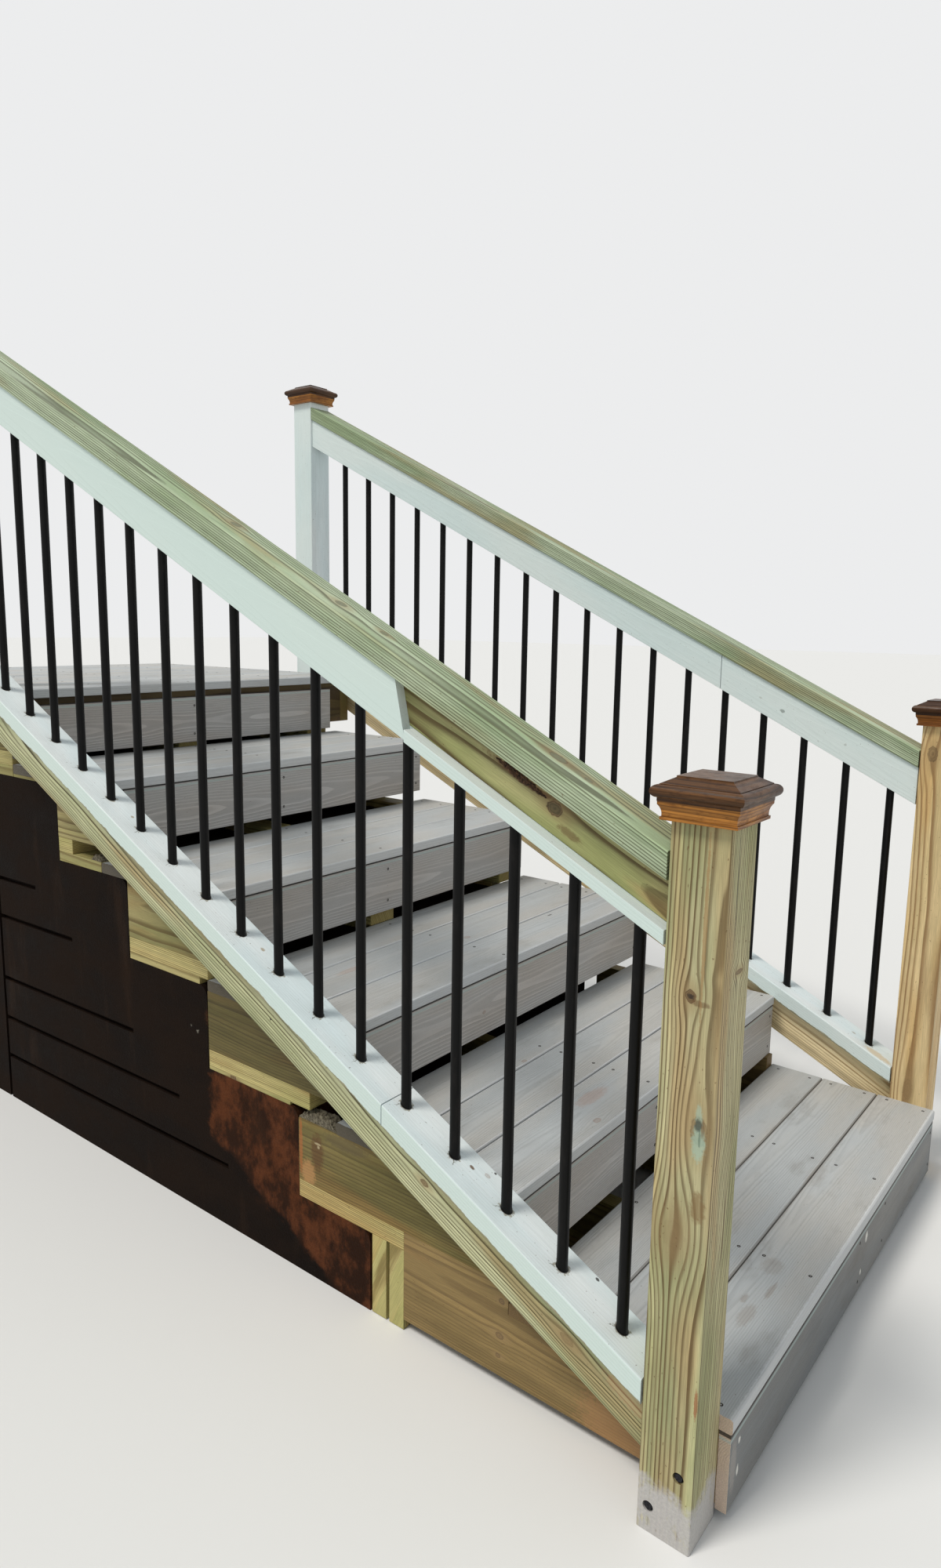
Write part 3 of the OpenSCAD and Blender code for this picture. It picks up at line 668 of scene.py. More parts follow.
def hole_wear_and_shade(first_y, middle_x, ragged_edge):
    """Chipped paint, a short crack and a ring of painted shade round each baluster's hole. The bottom
    rails' paint also ends in a ragged line above their lower edge."""
    def touch(g, board, colour, height, rough):
        # Painted shade on the upright faces, as on the other white boards.
        colour = painted_side_shade(g, board, colour)
        x, y = g.separate(board.here)[:2]
        turn = g.math("DIVIDE", g.minus(y, first_y - BALUSTER_PITCH / 2), BALUSTER_PITCH)
        along = g.times(g.minus(g.math("FRACT", turn), 0.5), BALUSTER_PITCH)
        side = g.minus(x, middle_x)
        away = g.vec("LENGTH", g.combine(side, along, 0))
        rag = g.minus(g.noise(board.here, (150, 110, 150), 3, 0.7), 0.5)
        edge = g.times_plus(rag, -0.03, away)
        bare = g.span(edge, BALUSTER_R + 0.001, BALUSTER_R + 0.003, 1, 0)
        colour = g.mix(g.times(bare, 0.7), colour, CHIPPED_PINE)
        rand = g.white(g.plus(g.math("FLOOR", turn), 0.37))
        angle = g.times_plus(rand[0], 1.6, -2.2)
        cosine, sine = g.math("COSINE", angle), g.math("SINE", angle)
        cross = g.minus(g.times(side, cosine), g.times(along, sine))
        cross = g.math("ABSOLUTE", g.times_plus(rag, 0.01, cross))
        ahead = g.plus(g.times(side, sine), g.times(along, cosine))
        crack = g.times(g.span(cross, 0.0003, 0.0009, 1, 0), g.span(ahead, 0, 0.002))
        crack = g.times(crack, g.span(away, 0.018, 0.026, 0.8, 0))
        colour = g.mix(crack, colour, CRACK)
        # Painted shade ring where the baluster enters its hole.
        rim = g.span(away, BALUSTER_R + 0.0006, BALUSTER_R + 0.0022, 0.9, 0)
        colour = g.mix(rim, colour, PAINTED_HOLE_SHADE)
        height = g.times_plus(bare, -0.8, height)
        if ragged_edge:
            low = g.noise(board.whole, (9, 0, 0), 4, 0.7)
            depth = g.times_plus(g.minus(low, 0.5), 0.022, board.parts[DEEP])
            low_edge = g.span(depth, STOCK_T / 2 - 0.0045, STOCK_T / 2 - 0.003)
            worn = g.times(low_edge, board.facing(g, ACROSS, 0.5, 0.9))
            colour = g.mix(g.times(worn, 0.85), colour, EDGE_PINE)
            height = g.times_plus(worn, -0.8, height)
        return colour, height, rough
    return touch


def raw_ends(tint, tint_behind=None, behind=0):
    """The near ends of boards were cut after painting. From behind on, they have their own tint."""
    def touch(g, board, colour, height, rough):
        x, y = g.separate(board.here)[:2]
        rag = g.noise(board.here, (120, 120, 60), 3, 0.7)
        cut = g.times_plus(g.minus(rag, 0.5), 0.004, x)
        at_end = g.span(cut, NEAR + 0.0006, NEAR + 0.0014, 1, 0)
        pores = g.noise(board.here, (400, 900, 900), 3, 0.7)
        bare = g.mix(g.span(y, behind, behind + 0.001), tint, tint_behind) if tint_behind else tint
        wood = g.shade(bare, g.span(pores, 0.3, 0.7, 0.75, 1.08))
        height = g.times_plus(g.times(at_end, pores), 1.5, height)
        return g.mix(at_end, colour, wood), height, rough
    return touch


def painted_top_shadow_and_highlight(tint, top, line=0.003):
    """Painted shadow: a dark line where a board meets the deck above it, and a painted highlight on the
    paint just below.
    """
    def touch(g, board, colour, height, rough):
        colour, height, rough = raw_ends(tint)(g, board, colour, height, rough)
        z = g.separate(board.here)[2]
        # Painted highlight band, just below the painted shadow line.
        below = g.span(z, top - line - 0.003, top - line - 0.001, 0.55, 0)
        lit = g.times(g.span(z, top - line - 0.009, top - line - 0.006), below)
        colour = g.mix(lit, colour, LIT_PAINT)
        # Painted shadow line under the deck above.
        return g.mix(g.span(z, top - line, top - line + 0.002, 0, 0.9), colour, BLACK), height, rough
    return touch


# Knots and marks seen in the photograph

NEWEL_SIDE = lowest("newel_low_near").x
NEWEL_FRONT = lowest("newel_low_near").y
FAR_NEWEL_SIDE = lowest("newel_low_far").x
RAIL_FACE = lowest("under_rail_near").x
FAR_BOARD_FACE = lowest("face_boards_far").x
FASCIA_FRONT = lowest("platform_fascia").y
DECK_TOP = highest("platform_deck").z
DECK_FRONT = lowest("platform_deck").y
ANY_LENGTH = 8
X, Y, Z = range(3)


def on_plane(axis, at, depth, rows):
    """Rows of KNOTS or MARKS on a face square to an axis. Each has the place's other two coordinates,
    the half sizes along and across the grain, and the rest. depth is the half size into the wood."""
    placed = []
    for first, second, along, across, *rest in rows:
        point = [first, second]
        point.insert(axis, at)
        placed.append((point, (along, across, depth), *rest))
    return placed


KNOTS["newel_low_near"] = on_plane(X, NEWEL_SIDE, 0.03, (
    (-1.5356, 0.8729, 0.01, 0.0085, 1),
    (-1.5584, 0.68, 0.023, 0.013, 0.5),
    (-1.5281, 0.508, 0.024, 0.019, 0.1),
))
KNOTS["newel_low_near"] += [((-0.6646, NEWEL_FRONT, 0.9053), (0.004, 0.015, 0.012), 0.8)]
MARKS["newel_low_near"] = on_plane(X, NEWEL_SIDE, 0.02, (
    (-1.559, 0.662, 0.03, 0.011, MINT, 0.6),
    (-1.558, 0.698, 0.022, 0.006, MINT, 0.5),
    (-1.5575, 0.688, 0.011, 0.006, BLACK, 0.75),
    (-1.564, 0.684, 0.015, 0.003, BROWN, 0.5),
    (-1.56, 0.67, 0.018, 0.0018, DEEP_MINT, 0.6),
    (-1.5356, 0.8729, 0.0045, 0.006, BLACK, 0.8),
    (-1.55, 0.865, 0.005, 0.016, BROWN, 0.6),
    (-1.5628, 0.5631, 0.026, 0.013, RESIN, 0.65),
    (-1.551, 0.97, 0.15, 0.003, TAN, 0.6),
))
MARKS["newel_low_near"] += [
    ((NEWEL_SIDE, -1.578, 0.256), (0.028, 0.003, 0.006), RUSTY, 0.7),
    ((-0.688, NEWEL_FRONT, 1.04), (0.085, 0.02, 0.0012), BLACK, 0.75),
    ((-0.6498, NEWEL_FRONT, 0.5495), (0.075, 0.02, 0.001), BLACK, 0.7),
    ((-0.674, NEWEL_FRONT, 0.889), (0.014, 0.02, 0.0015), BLACK, 0.6),
]
KNOTS["newel_low_far"] = on_plane(X, FAR_NEWEL_SIDE, 0.03, (
    (-1.5205, 1.0817, 0.02, 0.012, 0.7),
    (-1.535, 0.215, 0.03, 0.011, 0.2),
))
KNOTS["newel_low_far"] += [
    ((0.648, NEWEL_FRONT, 1.07), (0.017, 0.03, 0.008), 0.35),
    ((0.67, NEWEL_FRONT, 1.075), (0.02, 0.03, 0.01), 0.9),
]
KNOTS["hand_rail_near"] = (
    ((-0.673, -1.2788, 1.177), (0.018, 0.011, 0.02), 0.8),
    ((-0.6751, -1.3349, 1.149), (0.008, 0.005, 0.02), 0.7),
    ((-0.6775, -0.8167, 1.4081), (0.013, 0.01, 0.02), 0.6),
    ((-0.6738, -0.9171, 1.3579), (0.01, 0.007, 0.02), 0.6),
    ((-0.6614, -0.5133, 1.5598), (0.013, 0.01, 0.02), 0.6),
    ((-0.6187, -0.0573, 1.7878), (0.015, 0.012, 0.02), 0.6),
)
MARKS["hand_rail_near"] = [(point, size, KNOT_GREEN, 0.6) for point, size, _ in KNOTS["hand_rail_near"]]
KNOTS["under_rail_near"] = on_plane(X, RAIL_FACE, 0.03, (
    (-1.0341, 0.3853, 0.01, 0.006, 0.8),
    (-1.3418, 0.2273, 0.014, 0.008, 0.4),
))
MARKS["under_rail_near"] = on_plane(X, RAIL_FACE, 0.02, (
    (-0.626, 0.6213, 0.003, 0.003, BLACK, 0.9),
    (-0.625, 0.5846, 0.003, 0.003, BLACK, 0.9),
    (-1.46, 0.185, 0.06, 0.02, PEACH, 0.4),
))
KNOTS["top_rail_near"] = on_plane(X, RAIL_FACE, 0.03, (
    (-1.287, 1.1015, 0.016, 0.011, 1),
))
MARKS["top_rail_near"] = on_plane(X, RAIL_FACE, 0.02, (
    (-1.287, 1.1015, 0.015, 0.009, KNOT_SHADE, 0.55),
    (-1.3143, 1.066, 0.026, 0.007, BROWN, 0.6),
    (-1.22, 1.145, 0.075, 0.008, BROWN, 0.8),
))
KNOTS["rim_boards"] = [((0.448, 0.476, 1.09), (0.012, 0.012, 0.03), 1)]
KNOTS["skirt_boards"] = on_plane(X, NEAR, 0.03, (
    (-1.1656, 0.1752, 0.007, 0.006, 0.9),
    (-1.1622, 0.1042, 0.009, 0.007, 0.8),
    (-1.1597, 0.0631, 0.006, 0.005, 0.8),
))
MARKS["skirt_boards"] = on_plane(X, NEAR, 0.02, (
    (-1.43, 0.05, 0.105, 0.085, SUNLIT, 0.6),
))
MARKS["bottom_rail_near"] = (
    ((-0.6633, -1.1193, 0.4348), (0.0055, 0.004, 0.01), BROWN, 0.9),
    ((-0.6612, -0.5683, 0.7103), (0.006, 0.0045, 0.01), CHIPPED, 0.7),
    ((-0.6661, -0.1307, 0.9291), (0.005, 0.004, 0.01), CHIPPED, 0.7),
    ((-0.6331, -1.1488, 0.4201), (0.003, 0.003, 0.01), BLACK, 0.9),
    ((-0.6355, -1.3621, 0.3134), (0.0045, 0.003, 0.01), BLACK, 0.9),
)
MARKS["bottom_rail_far"] = (
    ((0.6823, -1.1278, 0.4417), (0.006, 0.005, 0.01), CHIPPED_GREY, 0.7),
    ((0.6724, -1.3821, 0.3151), (0.007, 0.005, 0.01), CHIPPED_GREY, 0.7),
    ((0.6475, -1.4524, 0.2801), (0.04, 0.015, 0.02), SAWDUST, 0.7),
)
MARKS["face_boards_far"] = on_plane(X, FAR_BOARD_FACE, 0.01, (
    (-1.141, 1.1607, 0.0075, 0.005, SOOT, 0.85),
    (-1.3101, 1.0855, 0.004, 0.003, DENT, 0.7),
    (-1.0786, 1.1924, 0.005, 0.003, PALE_DENT, 0.7),
))
MARKS["step_joists_1"] = on_plane(X, NEAR, 0.02, (
    (-0.689, 0.29, 0.02, 0.045, BURNT, 0.7),
    (-0.69, 0.309, 0.011, 0.0025, SCAR, 0.7),
    (-0.693, 0.302, 0.004, 0.004, SCAR, 0.7),
    (-0.662, 0.235, 0.022, 0.03, LIT_WOOD, 0.6),
    (-0.64, 0.29, 0.006, 0.07, RUST_LINE, 0.7),
    (-0.77, 0.335, 0.07, 0.016, DAMP, 0.6),
))
MARKS["platform_fascia"] = on_plane(Y, FASCIA_FRONT, 0.01, (
    (-0.5914, 0.1214, 0.0045, 0.0065, FILLER, 0.95),
    (-0.5925, 0.0673, 0.0045, 0.01, FILLER, 0.95),
    (0.0747, 0.1214, 0.009, 0.012, FILLER, 0.95),
    (0.0493, 0.0539, 0.005, 0.007, FILLER, 0.95),
    (-0.612, 0.09, 0.013, 0.05, WORN_GREY, 0.6),
))
MARKS["platform_deck"] = [
    # Painted highlight along the deck's rounded front edge.
    ((0, DECK_FRONT, DECK_TOP), (ANY_LENGTH, 0.007, 0.06), PAINTED_EDGE_HIGHLIGHT, 0.7),
]
MARKS["platform_deck"] += on_plane(Z, DECK_TOP, 0.01, (
    (-0.2291, -1.511, 0.03, 0.022, MUD, 0.22),
    (-0.39, -1.525, 0.038, 0.014, MUD, 0.28),
    (-0.3, -1.535, 0.03, 0.006, MUD, 0.35),
    (-0.35, -1.505, 0.016, 0.006, MUD, 0.35),
    (-0.37, -1.43, 0.05, 0.006, MUD, 0.25),
    (0.14, -1.47, 0.06, 0.02, MUD, 0.15),
))
MARKS["tread_1"] = on_plane(Z, highest("tread_1").z, 0.01, (
    (-0.2022, -1.0875, 0.06, 0.02, PINK_STAIN, 0.4),
))
MARKS["tread_2"] = on_plane(Z, highest("tread_2").z, 0.01, (
    (-0.3738, -0.5369, 0.05, 0.012, PINK_WASH, 0.35),
    (0.2949, -0.6466, 0.012, 0.003, BLACK, 0.8),
))


STEPS = range(1, 5)
RISERS = range(1, 6)
# The studs are sawn at a slant to the grain
STUD_GRAIN = Vector((0, -0.42, 0.91)).normalized()
# The fascia's grey is darkened as painted shade; the line below is how far under its top the painted
# shadow line lies.
FASCIA_PAINTED_SHADE = 0.46
FASCIA_LINE = 0.008


def deck_rows(node):
    """How many boards a deck has, and how far apart they lie."""
    depth = highest(node).y - lowest(node).y
    count = round(depth / BOARD_W)
    return count, (depth - BOARD_W) / (count - 1)


def wood_materials():
    """Gives every wooden node its material."""
    _, row = deck_rows("landing_deck")
    _, low_row = deck_rows("platform_deck")
    rise = highest("tread_2").z - highest("tread_1").z
    old_ends = raw_ends(OLD_RAW)
    new_ends = raw_ends(RAW, SKIRT_BROWN, DECK_FRONT + BOARD_W)
    for k in STEPS:
        painted(f"tread_{k}", ACROSS, ALONG, GREY, GREY_WARM, 11.3 * k, {WIDE: row}, seam=0.45,
                touch=old_ends)
    for k in RISERS:
        top = highest(f"riser_{k}").z
        painted(f"riser_{k}", ACROSS, UP, RISER_GREY, RISER_WARM, 41.7 + 2.3 * k,
                spacing=0.0045, pith=(0, 0, 0.06), wander=0.02, relief=0.3, dirt=0.15, depth=0.0013,
                touch=painted_top_shadow_and_highlight(OLD_RAW, top))
    painted("landing_deck", ACROSS, ALONG, GREY, GREY_WARM, 61, {WIDE: row}, seam=0.3, touch=old_ends)
    painted("platform_deck", ACROSS, ALONG, GREY, GREY_WARM, 67, {WIDE: low_row}, dirt=0.4, seam=-0.5,
            touch=new_ends)
    fascia_top = highest("platform_fascia").z
    # The fascia takes the deck's grey, darkened as painted shade.
    painted("platform_fascia", ACROSS, UP, scaled(GREY, FASCIA_PAINTED_SHADE), scaled(GREY_WARM, FASCIA_PAINTED_SHADE),
            69, relief=-0.06, dirt=0.35, touch=painted_top_shadow_and_highlight(RAW, fascia_top, FASCIA_LINE))
    # The shade values below darken the frame's boards as painted shade.
    pine("step_joists_1", ALONG, UP, OLIVE, 71.9, {DEEP: 0.45}, spacing=0.0032, pith=(0, 0.09, 0.09),
         wander=0.008, contrast=0.6, density=0, shade=0.85)
    pine("step_joists_2", ALONG, UP, OLIVE, 74.9, {DEEP: 0.45}, spacing=0.0036, pith=(0, 0.09, 0.09),
         wander=0.01, contrast=0.6, shade=0.55)
    pine("step_joists_3", ALONG, UP, YELLOW, 76.9, {DEEP: 0.45}, spacing=0.007, shade=0.66, wander=0.014)
    pine("step_joists_4", ALONG, UP, YELLOW, 77.9, {DEEP: 0.45}, shade=0.7)
    pine("landing_joists", ALONG, UP, OLIVE, 81, {DEEP: 0.3}, shade=0.9)
    pine("rim_boards", ACROSS, UP, ORANGE, 83, {WIDE: rise}, shade=0.4)
    pine("skirt_boards", ALONG, UP, ORANGE, 85, {DEEP: 0.6}, spacing=0.0034, pith=(0, 0.05, 0.12),
         wander=0.005, contrast=0.5, density=0)
    pine("platform_rims", ACROSS, UP, OLIVE, 87, {DEEP: 0.3}, shade=0.8)
    pine("platform_joists", ALONG, UP, OLIVE, 89, {DEEP: 0.3}, shade=0.8)
    pine("studs", STUD_GRAIN, ACROSS, YELLOW, 91, {DEEP: 0.046}, spacing=0.0065, pith=(0, 0.1, 0.02),
         wander=0.012, density=0.5)
    pine("plates", ALONG, ACROSS, YELLOW, 93, {WIDE: 0.4, DEEP: rise}, spacing=0.0042,
         pith=(0, 0, 0.09), density=0.15)
    pine("packing_strips", ALONG, ACROSS, YELLOW, 95, {WIDE: 0.4, DEEP: 0.1}, shade=0.8)
    for side in ("near", "far"):
        railing_materials(side)
    pine("newel_low_near", UP, ALONG, GREENISH, 301, pith=(0, -0.042, -0.005), spread=0,
         spacing=0.0055, wander=0.005, contrast=1, density=0, touch=newel_foot)
    pine("newel_low_far", UP, ALONG, HONEY_AND_PAINTED_SUN, 305, spacing=0.0065, pith=(0, -0.02, -0.03),
         spread=0, wander=0.012, density=0)


def white_paint(node, grain, wide, seed, relief=-0.02, dirt=0.08, depth=0.0003, **settings):
    """The railings' paint: smooth, with some shine and nearly clean."""
    painted(node, grain, wide, WHITE, WHITE_WARM, seed, relief=relief, dirt=dirt, shine=0.42,
            depth=depth, **settings)


def railing_materials(side):
    """Rails, strips, face boards, balusters and the top newel of one side."""
    near = side == "near"
    seed = 100 if near else 200
    hand, hand_square = climb("hand_rail_" + side)
    foot, foot_square = climb("under_rail_" + side)
    first = lowest("balusters_" + side).y + BALUSTER_R
    middle = (lowest("newel_low_" + side).x + highest("newel_low_" + side).x) / 2
    white_paint("bottom_rail_" + side, foot, ACROSS, seed, density=0.2, radius=0.005,
                touch=hole_wear_and_shade(first, middle, True))
    white_paint("top_strip_" + side, hand, ACROSS, seed + 3, touch=hole_wear_and_shade(first, middle, False))
    white_paint("face_boards_" + side, hand, hand_square, seed + 7, dirt=0.06, density=0.08,
                pitches={DEEP: 0.04}, touch=white_painted_side_shade)
    white_paint("newel_top_" + side, UP, ACROSS, seed + 11, relief=-0.03, dirt=0.06, depth=0.0004,
                density=0.05, touch=white_painted_side_shade)
    pine("under_rail_" + side, foot, foot_square, RAIL_SIDE if near else CREAM, seed + 13,
         spacing=0.0045, pith=(0, 0.032, 0.045), spread=0.006, wander=0.011, contrast=1,
         density=0 if near else 0.3)
    pine("hand_rail_" + side, hand, ACROSS, MINTY, seed + 17, spacing=0.0045, pith=(0, -0.03, 0.06),
         spread=0.006, wander=0.004, contrast=0.95, density=0 if near else 0.35, radius=0.006)
    pine("top_rail_" + side, hand, hand_square, SHADED, seed + 19, spacing=0.007, pith=(0, 0, 0.05),
         spread=0.02, wander=0.022, contrast=0.95, density=0 if near else 0.3)
    black_metal("balusters_" + side)


wood_materials()
stained("cap_mouldings", MOULDING_STAIN, 0.005)
stained("cap_tops", TOP_STAIN, 0.006)
masonry("concrete_steps")


# Pieces that the construction leaves out

CIRCLE = [math.radians(45 + 30 * i) for i in range(12)]


def outline(reaches):
    """Twelve points round a middle, each as far out as its reach."""
    return [(r * math.cos(a), r * math.sin(a)) for r, a in zip(reaches, CIRCLE)]


def round_outline(radius):
    return outline([radius] * len(CIRCLE))


def square_outline(half):
    return outline([half / max(abs(math.cos(a)), abs(math.sin(a))) for a in CIRCLE])


def hexagon_outline(flat):
    """A hexagon that is flat across, its corners at every second point."""
    return outline([flat / 2 if i % 2 else flat / math.sqrt(3) for i in range(len(CIRCLE))])


def skin(bm, rings):
    """Faces between closed rings of vertices, and over the first and the last."""
    count = len(rings[0])
    for low, high in zip(rings, rings[1:]):
        for i in range(count):
            j = (i + 1) % count
            bm.faces.new((low[i], low[j], high[j], high[i]))
    bm.faces.new(list(reversed(rings[0])))
    bm.faces.new(rings[-1])


def tube(bm, origin, normal, turn, rows):
    """Closed solid through outlines, each at its height along the normal."""
    side = normal.orthogonal().normalized()
    side.rotate(Matrix.Rotation(turn, 3, normal))
    other = normal.cross(side)
    skin(bm, [
        [bm.verts.new(origin + side * a + other * b + normal * height) for a, b in points]
        for points, height in rows
    ])


def add_piece(name, bm, material):
    """Makes an object of a finished mesh, on the stair's only body."""
    mesh = bpy.data.meshes.new(name)
    bm.to_mesh(mesh)
    bm.free()
    mesh.materials.append(material)
    piece = bpy.data.objects.new(name, mesh)
    scene.collection.objects.link(piece)
    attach(piece, "root")


SCREW_R = 0.0037
SCREW_ROWS = (
    (round_outline(SCREW_R), -0.0006),
    (round_outline(SCREW_R), 0.0001),
    (round_outline(SCREW_R * 0.9), 0.00035),
    (square_outline(0.0013), 0.00035),
    (square_outline(0.0012), -0.0004),
)
SCREW_INSET = 0.026
SCREW_JITTER = 0.003
FASCIA_SCREW = 0.66
SCREW_TINTS = ((0.022, 0.02, 0.018), (0.07, 0.06, 0.048))
BOLT_TINTS = ((0.006, 0.006, 0.008), (0.03, 0.03, 0.036))


def steel_material(name, tints):
    """Coated steel, dull, with a little grit."""
    material, g = new_material(name)
    wear = g.noise(g.place(), (300,) * 3, 3, 0.7)
    colour = g.mix(g.span(wear, 0.4, 0.7), *tints)
    surface(g, colour, g.span(wear, 0.3, 0.7, 0.4, 0.6), wear, 0.0002, 0.15)
    return material


STEEL = steel_material("screw_steel", SCREW_TINTS)
BLACK_STEEL = steel_material("bolt_steel", BOLT_TINTS)


def screws(name, places, normal, rng):
    """One piece with a screw head at each place."""
    bm = bmesh.new()
    for point in places:
        shift = Vector([rng.uniform(-SCREW_JITTER, SCREW_JITTER) for _ in range(3)])
        shift -= normal * shift.dot(normal)
        tube(bm, Vector(point) + shift, normal, rng.uniform(0, math.pi), SCREW_ROWS)
    add_piece("screws_" + name, bm, STEEL)


def deck_screws(node, columns, rng):
    """Two screws a board over each joist."""
    low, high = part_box(node)
    count, pitch = deck_rows(node)
    places = []
    for i in range(count):
        for x in columns:
            for edge in (SCREW_INSET, BOARD_W - SCREW_INSET):
                places.append((x, low.y + i * pitch + edge, high.z))
    screws(node, places, UP, rng)


def front_screws(node, columns, rng):
    """Two screws at each joist's end in a riser or the fascia."""
    low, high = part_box(node)
    places = [(x, low.y, z) for x in columns for z in (low.z + SCREW_INSET, high.z - SCREW_INSET)]
    screws(node, places, -ALONG, rng)


def add_screws():
    rng = random.Random(7)
    edge = STOCK_T / 2
    middle = NEAR + JOIST_MIDDLE
    for k in STEPS:
        far = highest(f"step_joists_{k}").x - edge
        columns = (NEAR + edge, middle, far)
        deck_screws(f"tread_{k}", columns, rng)
        front_screws(f"riser_{k}", columns, rng)
    half = JOIST_MIDDLE / 2
    deck_screws("landing_deck", (NEAR + edge, NEAR + half, middle, FAR - half, FAR - edge), rng)
    front_screws("riser_5", (NEAR + edge, middle), rng)
    third = (FAR - NEAR) / 3
    low_columns = (NEAR + edge, NEAR + third, FAR - third, FAR - edge)
    deck_screws("platform_deck", low_columns, rng)
    front_screws("platform_fascia", (NEAR + FASCIA_SCREW, FAR - third, FAR - edge), rng)


BOLT_TURN = 0.4
BOLT_PLACES = ((-1.5576, 0.1208), (-1.5109, 0.0435))
BOLT_ROWS = (
    (round_outline(0.0083), 0),
    (round_outline(0.0083), 0.0082),
    (round_outline(0.0079), 0.0086),
    (round_outline(0.0072), 0.0086),
    (hexagon_outline(0.0125), 0.009),
    (hexagon_outline(0.0125), 0.0124),
    (hexagon_outline(0.0108), 0.0132),
)


def add_bolts():
    """Washer and hexagon head at the bottom of each bore in the near low newel."""
    bm = bmesh.new()
    x = NEWEL_SIDE + BOLT_BORE_DEPTH
    for turn, (y, z) in enumerate(BOLT_PLACES):
        tube(bm, Vector((x, y, z)), -ACROSS, BOLT_TURN + turn, BOLT_ROWS)
    add_piece("bolts", bm, BLACK_STEEL)


BARK_ENDS = (Vector((0, -1.174, 1.17)), Vector((0, -1.272, 1.116)))
BARK_STATIONS = 44
BARK_HALF_W = 0.0066
BARK_H = 0.003


def crumbly(name, tints, scales, harshness, rough, depth):
    """Rough matter: one noise makes both its two tints and its relief."""
    material, g = new_material(name)
    lumps = g.noise(g.place(), scales, 4, harshness)
    surface(g, g.mix(g.span(lumps, 0.35, 0.65), *tints), rough, lumps, depth)
    return material


BARK_TINTS = ((0.018, 0.01, 0.006), (0.11, 0.055, 0.028))
MORTAR_TINTS = ((0.055, 0.045, 0.03), (0.21, 0.185, 0.13))
BARK = crumbly("bark", BARK_TINTS, (200, 260, 260), 0.7, 0.85, 0.0015)
MORTAR = crumbly("mortar", MORTAR_TINTS, (180,) * 3, 0.75, 0.9, 0.003)


def add_bark():
    """Strip of bark left in a split on the near top rail's outer side."""
    rng = random.Random(21)
    start, end = BARK_ENDS
    run = (end - start).normalized()
    side = ACROSS.cross(run)
    face_x = lowest("top_rail_near").x
    bm = bmesh.new()
    rows = []
    for i in range(BARK_STATIONS + 1):
        t = i / BARK_STATIONS
        half = BARK_HALF_W * (math.sin(math.pi * t) ** 0.6 * rng.uniform(0.6, 1.15) + 0.04)
        middle = start + (end - start) * t + side * rng.uniform(-0.0008, 0.0008)
        shape = ((-1, 0), (-0.5, rng.uniform(0.4, 1)), (-0.1, rng.uniform(0, 0.4)),
                 (0.4, rng.uniform(0.4, 1)), (1, 0))
        row = []
        for across, height in shape:
            lift = height * BARK_H * min(1, half / BARK_HALF_W)
            row.append(bm.verts.new(Vector((face_x - lift, 0, 0)) + middle + side * (across * half)))
        row.append(bm.verts.new(Vector((face_x + 0.001, 0, 0)) + middle))
        rows.append(row)
    skin(bm, rows)
    bmesh.ops.recalc_face_normals(bm, faces=bm.faces)
    add_piece("bark_strip", bm, BARK)


# Corners of the heaps, from the near side and the board or strip that they lie on
LEDGE_CORNERS = ((0.0015, -0.744, 0), (0.036, -0.6345, 0.024))
SLOT_CORNERS = ((0.001, 0.003, 0), (0.04, 0.045, 0.016))
LUMP = 0.005


def rubble(name, origin, corners, rng):
    """Heap of old mortar that fills the box between two corners, with a lumpy top."""
    bm = bmesh.new()
    low, high = ([a + b for a, b in zip(origin, corner)] for corner in corners)
    counts = [max(3, round((high[i] - low[i]) / LUMP)) for i in (0, 1)]
    tops = []
    for i in range(counts[0] + 1):
        row = []
        for j in range(counts[1] + 1):
            a, b = i / counts[0], j / counts[1]
            rim = min(1, 5 * min(b, 1 - b) + 0.15) * min(1, 4 * min(a + 0.15, 1 - a) + 0.2)
            height = (high[2] - low[2]) * min(1, rim * rng.uniform(0.55, 1))
            inner = 0 < i < counts[0] and 0 < j < counts[1]
            wobble = LUMP / 4 if inner else 0
            row.append(bm.verts.new((
                low[0] + a * (high[0] - low[0]) + rng.uniform(-wobble, wobble),
                low[1] + b * (high[1] - low[1]) + rng.uniform(-wobble, wobble),
                low[2] + height,
            )))
        tops.append(row)
    feet = [[bm.verts.new((v.co.x, v.co.y, low[2])) for v in row] for row in tops]
    for i in range(counts[0]):
        for j in range(counts[1]):
            bm.faces.new((tops[i][j], tops[i + 1][j], tops[i + 1][j + 1], tops[i][j + 1]))
            bm.faces.new((feet[i][j], feet[i][j + 1], feet[i + 1][j + 1], feet[i + 1][j]))
    rim = [(i, 0) for i in range(counts[0])] + [(counts[0], j) for j in range(counts[1])]
    rim += [(i, counts[1]) for i in range(counts[0], 0, -1)] + [(0, j) for j in range(counts[1], 0, -1)]
    for (i, j), (k, m) in zip(rim, rim[1:] + rim[:1]):
        bm.faces.new((tops[k][m], tops[i][j], feet[i][j], feet[k][m]))
    bmesh.ops.recalc_face_normals(bm, faces=bm.faces)
    add_piece(name, bm, MORTAR)


def add_mortar():
    """Old mortar on the first frame's side board and at the front of the slot under the fourth."""
    rng = random.Random(33)
    rubble("mortar_ledge", (NEAR, 0, highest("step_joists_1").z), LEDGE_CORNERS, rng)
    back = highest("tread_3")
    rubble("mortar_slot", (NEAR, back.y, back.z), SLOT_CORNERS, rng)


EASED_NODES = (
    "skirt_boards", *(f"step_joists_{k}" for k in STEPS), "landing_joists", "rim_boards", "plates",
    "studs", "packing_strips",
)
EASE = 0.0016
EASE_ANGLE = math.radians(40)
WELD = 0.00001


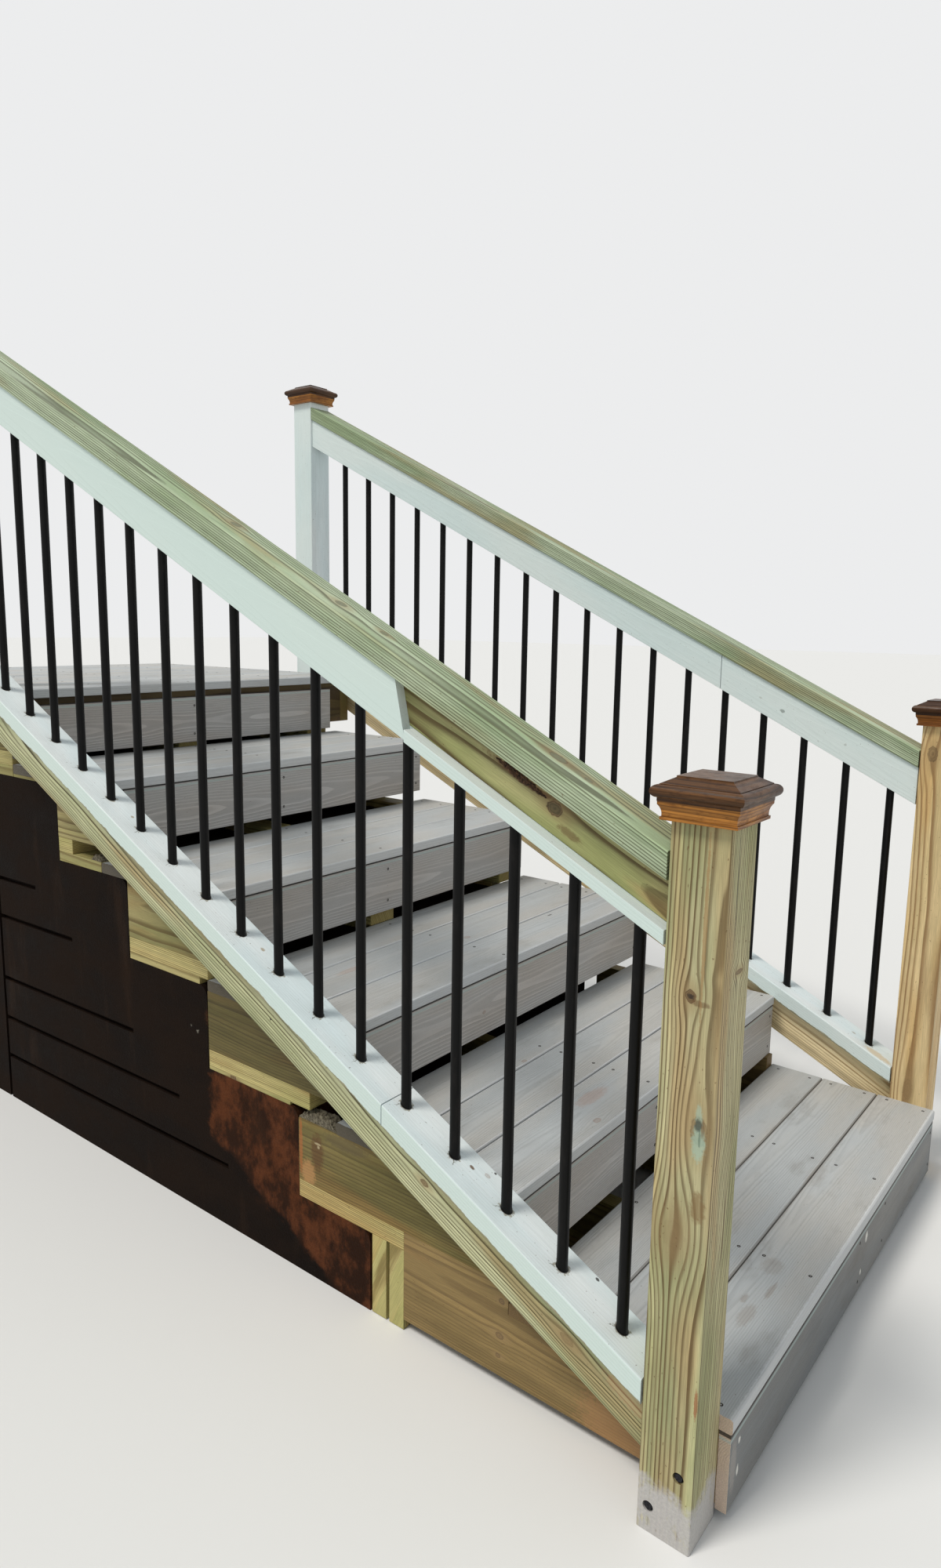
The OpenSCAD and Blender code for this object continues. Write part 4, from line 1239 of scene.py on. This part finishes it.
def ease_edges():
    """Sawn timber has its edges knocked off a little."""
    for name in EASED_NODES:
        weld = nodes[name].modifiers.new("weld", "WELD")
        weld.merge_threshold = WELD
        bevel = nodes[name].modifiers.new("ease", "BEVEL")
        bevel.width = EASE
        bevel.segments = 2
        bevel.limit_method = "ANGLE"
        bevel.angle_limit = EASE_ANGLE


add_screws()
add_bolts()
add_bark()
add_mortar()
ease_edges()


# Stage, light and camera

FLOOR_SIZE = 120
FLOOR_DROP = 0.0005
FLOOR_TINT = (0.75, 0.75, 0.74)
FLOOR_ROUGH = 0.9
SKY_TINT = (0.93, 0.97, 1)
SKY_POWER = 0.55
BACKDROP = (0.84, 0.845, 0.85)
KEY_POWER = 2.1
KEY_ANGLE = math.radians(16)
KEY_TINT = (1, 0.96, 0.9)
KEY_TOWARD = Vector((0.55, -0.22, -1))


def make_floor():
    material, g = new_material("floor")
    shader = g.add("BsdfPrincipled", {"Base Color": FLOOR_TINT, "Roughness": FLOOR_ROUGH})
    g.put(g.add("OutputMaterial").inputs["Surface"], shader.outputs[0])
    bpy.ops.mesh.primitive_plane_add(size=FLOOR_SIZE, location=(0, 0, -FLOOR_DROP))
    floor = bpy.context.object
    floor.name = "floor"
    floor.data.materials.append(material)


def make_world():
    world = bpy.data.worlds.new("studio")
    scene.world = world
    world.use_nodes = True
    world.node_tree.nodes.clear()
    g = Graph(world.node_tree)
    path = g.add("LightPath").outputs
    seen = g.math("MAXIMUM", path["Is Camera Ray"], path["Is Glossy Ray"])
    seen = g.math("MAXIMUM", seen, path["Is Transmission Ray"])
    light = g.add("Background", {"Color": SKY_TINT, "Strength": SKY_POWER})
    shown = g.add("Background", {"Color": BACKDROP, "Strength": 1})
    both = g.add("MixShader", {0: seen, 1: light.outputs[0], 2: shown.outputs[0]})
    g.put(g.add("OutputWorld").inputs["Surface"], both.outputs[0])


def make_key():
    """Soft sun from behind the near side, as in the photograph: front faces stay in shade."""
    lamp = bpy.data.lights.new("key", "SUN")
    lamp.energy = KEY_POWER
    lamp.angle = KEY_ANGLE
    lamp.color = KEY_TINT
    key = bpy.data.objects.new("key", lamp)
    key.rotation_mode = "QUATERNION"
    key.rotation_quaternion = KEY_TOWARD.to_track_quat("-Z", "Y")
    scene.collection.objects.link(key)


def make_camera():
    cam = bpy.data.cameras.new("camera")
    cam.lens = CAMERA_LENS
    cam.sensor_width = CAMERA_SENSOR
    cam.clip_start, cam.clip_end = CAMERA_CLIP
    eye = bpy.data.objects.new("camera", cam)
    yaw, pitch, roll = CAMERA_YAW, CAMERA_PITCH, CAMERA_ROLL
    level = math.cos(pitch)
    ahead = Vector((math.sin(yaw) * level, math.cos(yaw) * level, -math.sin(pitch)))
    right = Vector((math.cos(yaw), -math.sin(yaw), 0))
    down = ahead.cross(right)
    rolled = right * math.cos(roll) + down * math.sin(roll)
    down = down * math.cos(roll) - right * math.sin(roll)
    turned = Matrix((rolled, -down, -ahead)).transposed().to_4x4()
    eye.matrix_world = Matrix.Translation(CAMERA_PLACE) @ turned
    scene.collection.objects.link(eye)
    scene.camera = eye


make_floor()
make_world()
make_key()
make_camera()
scene.view_settings.view_transform = "Standard"
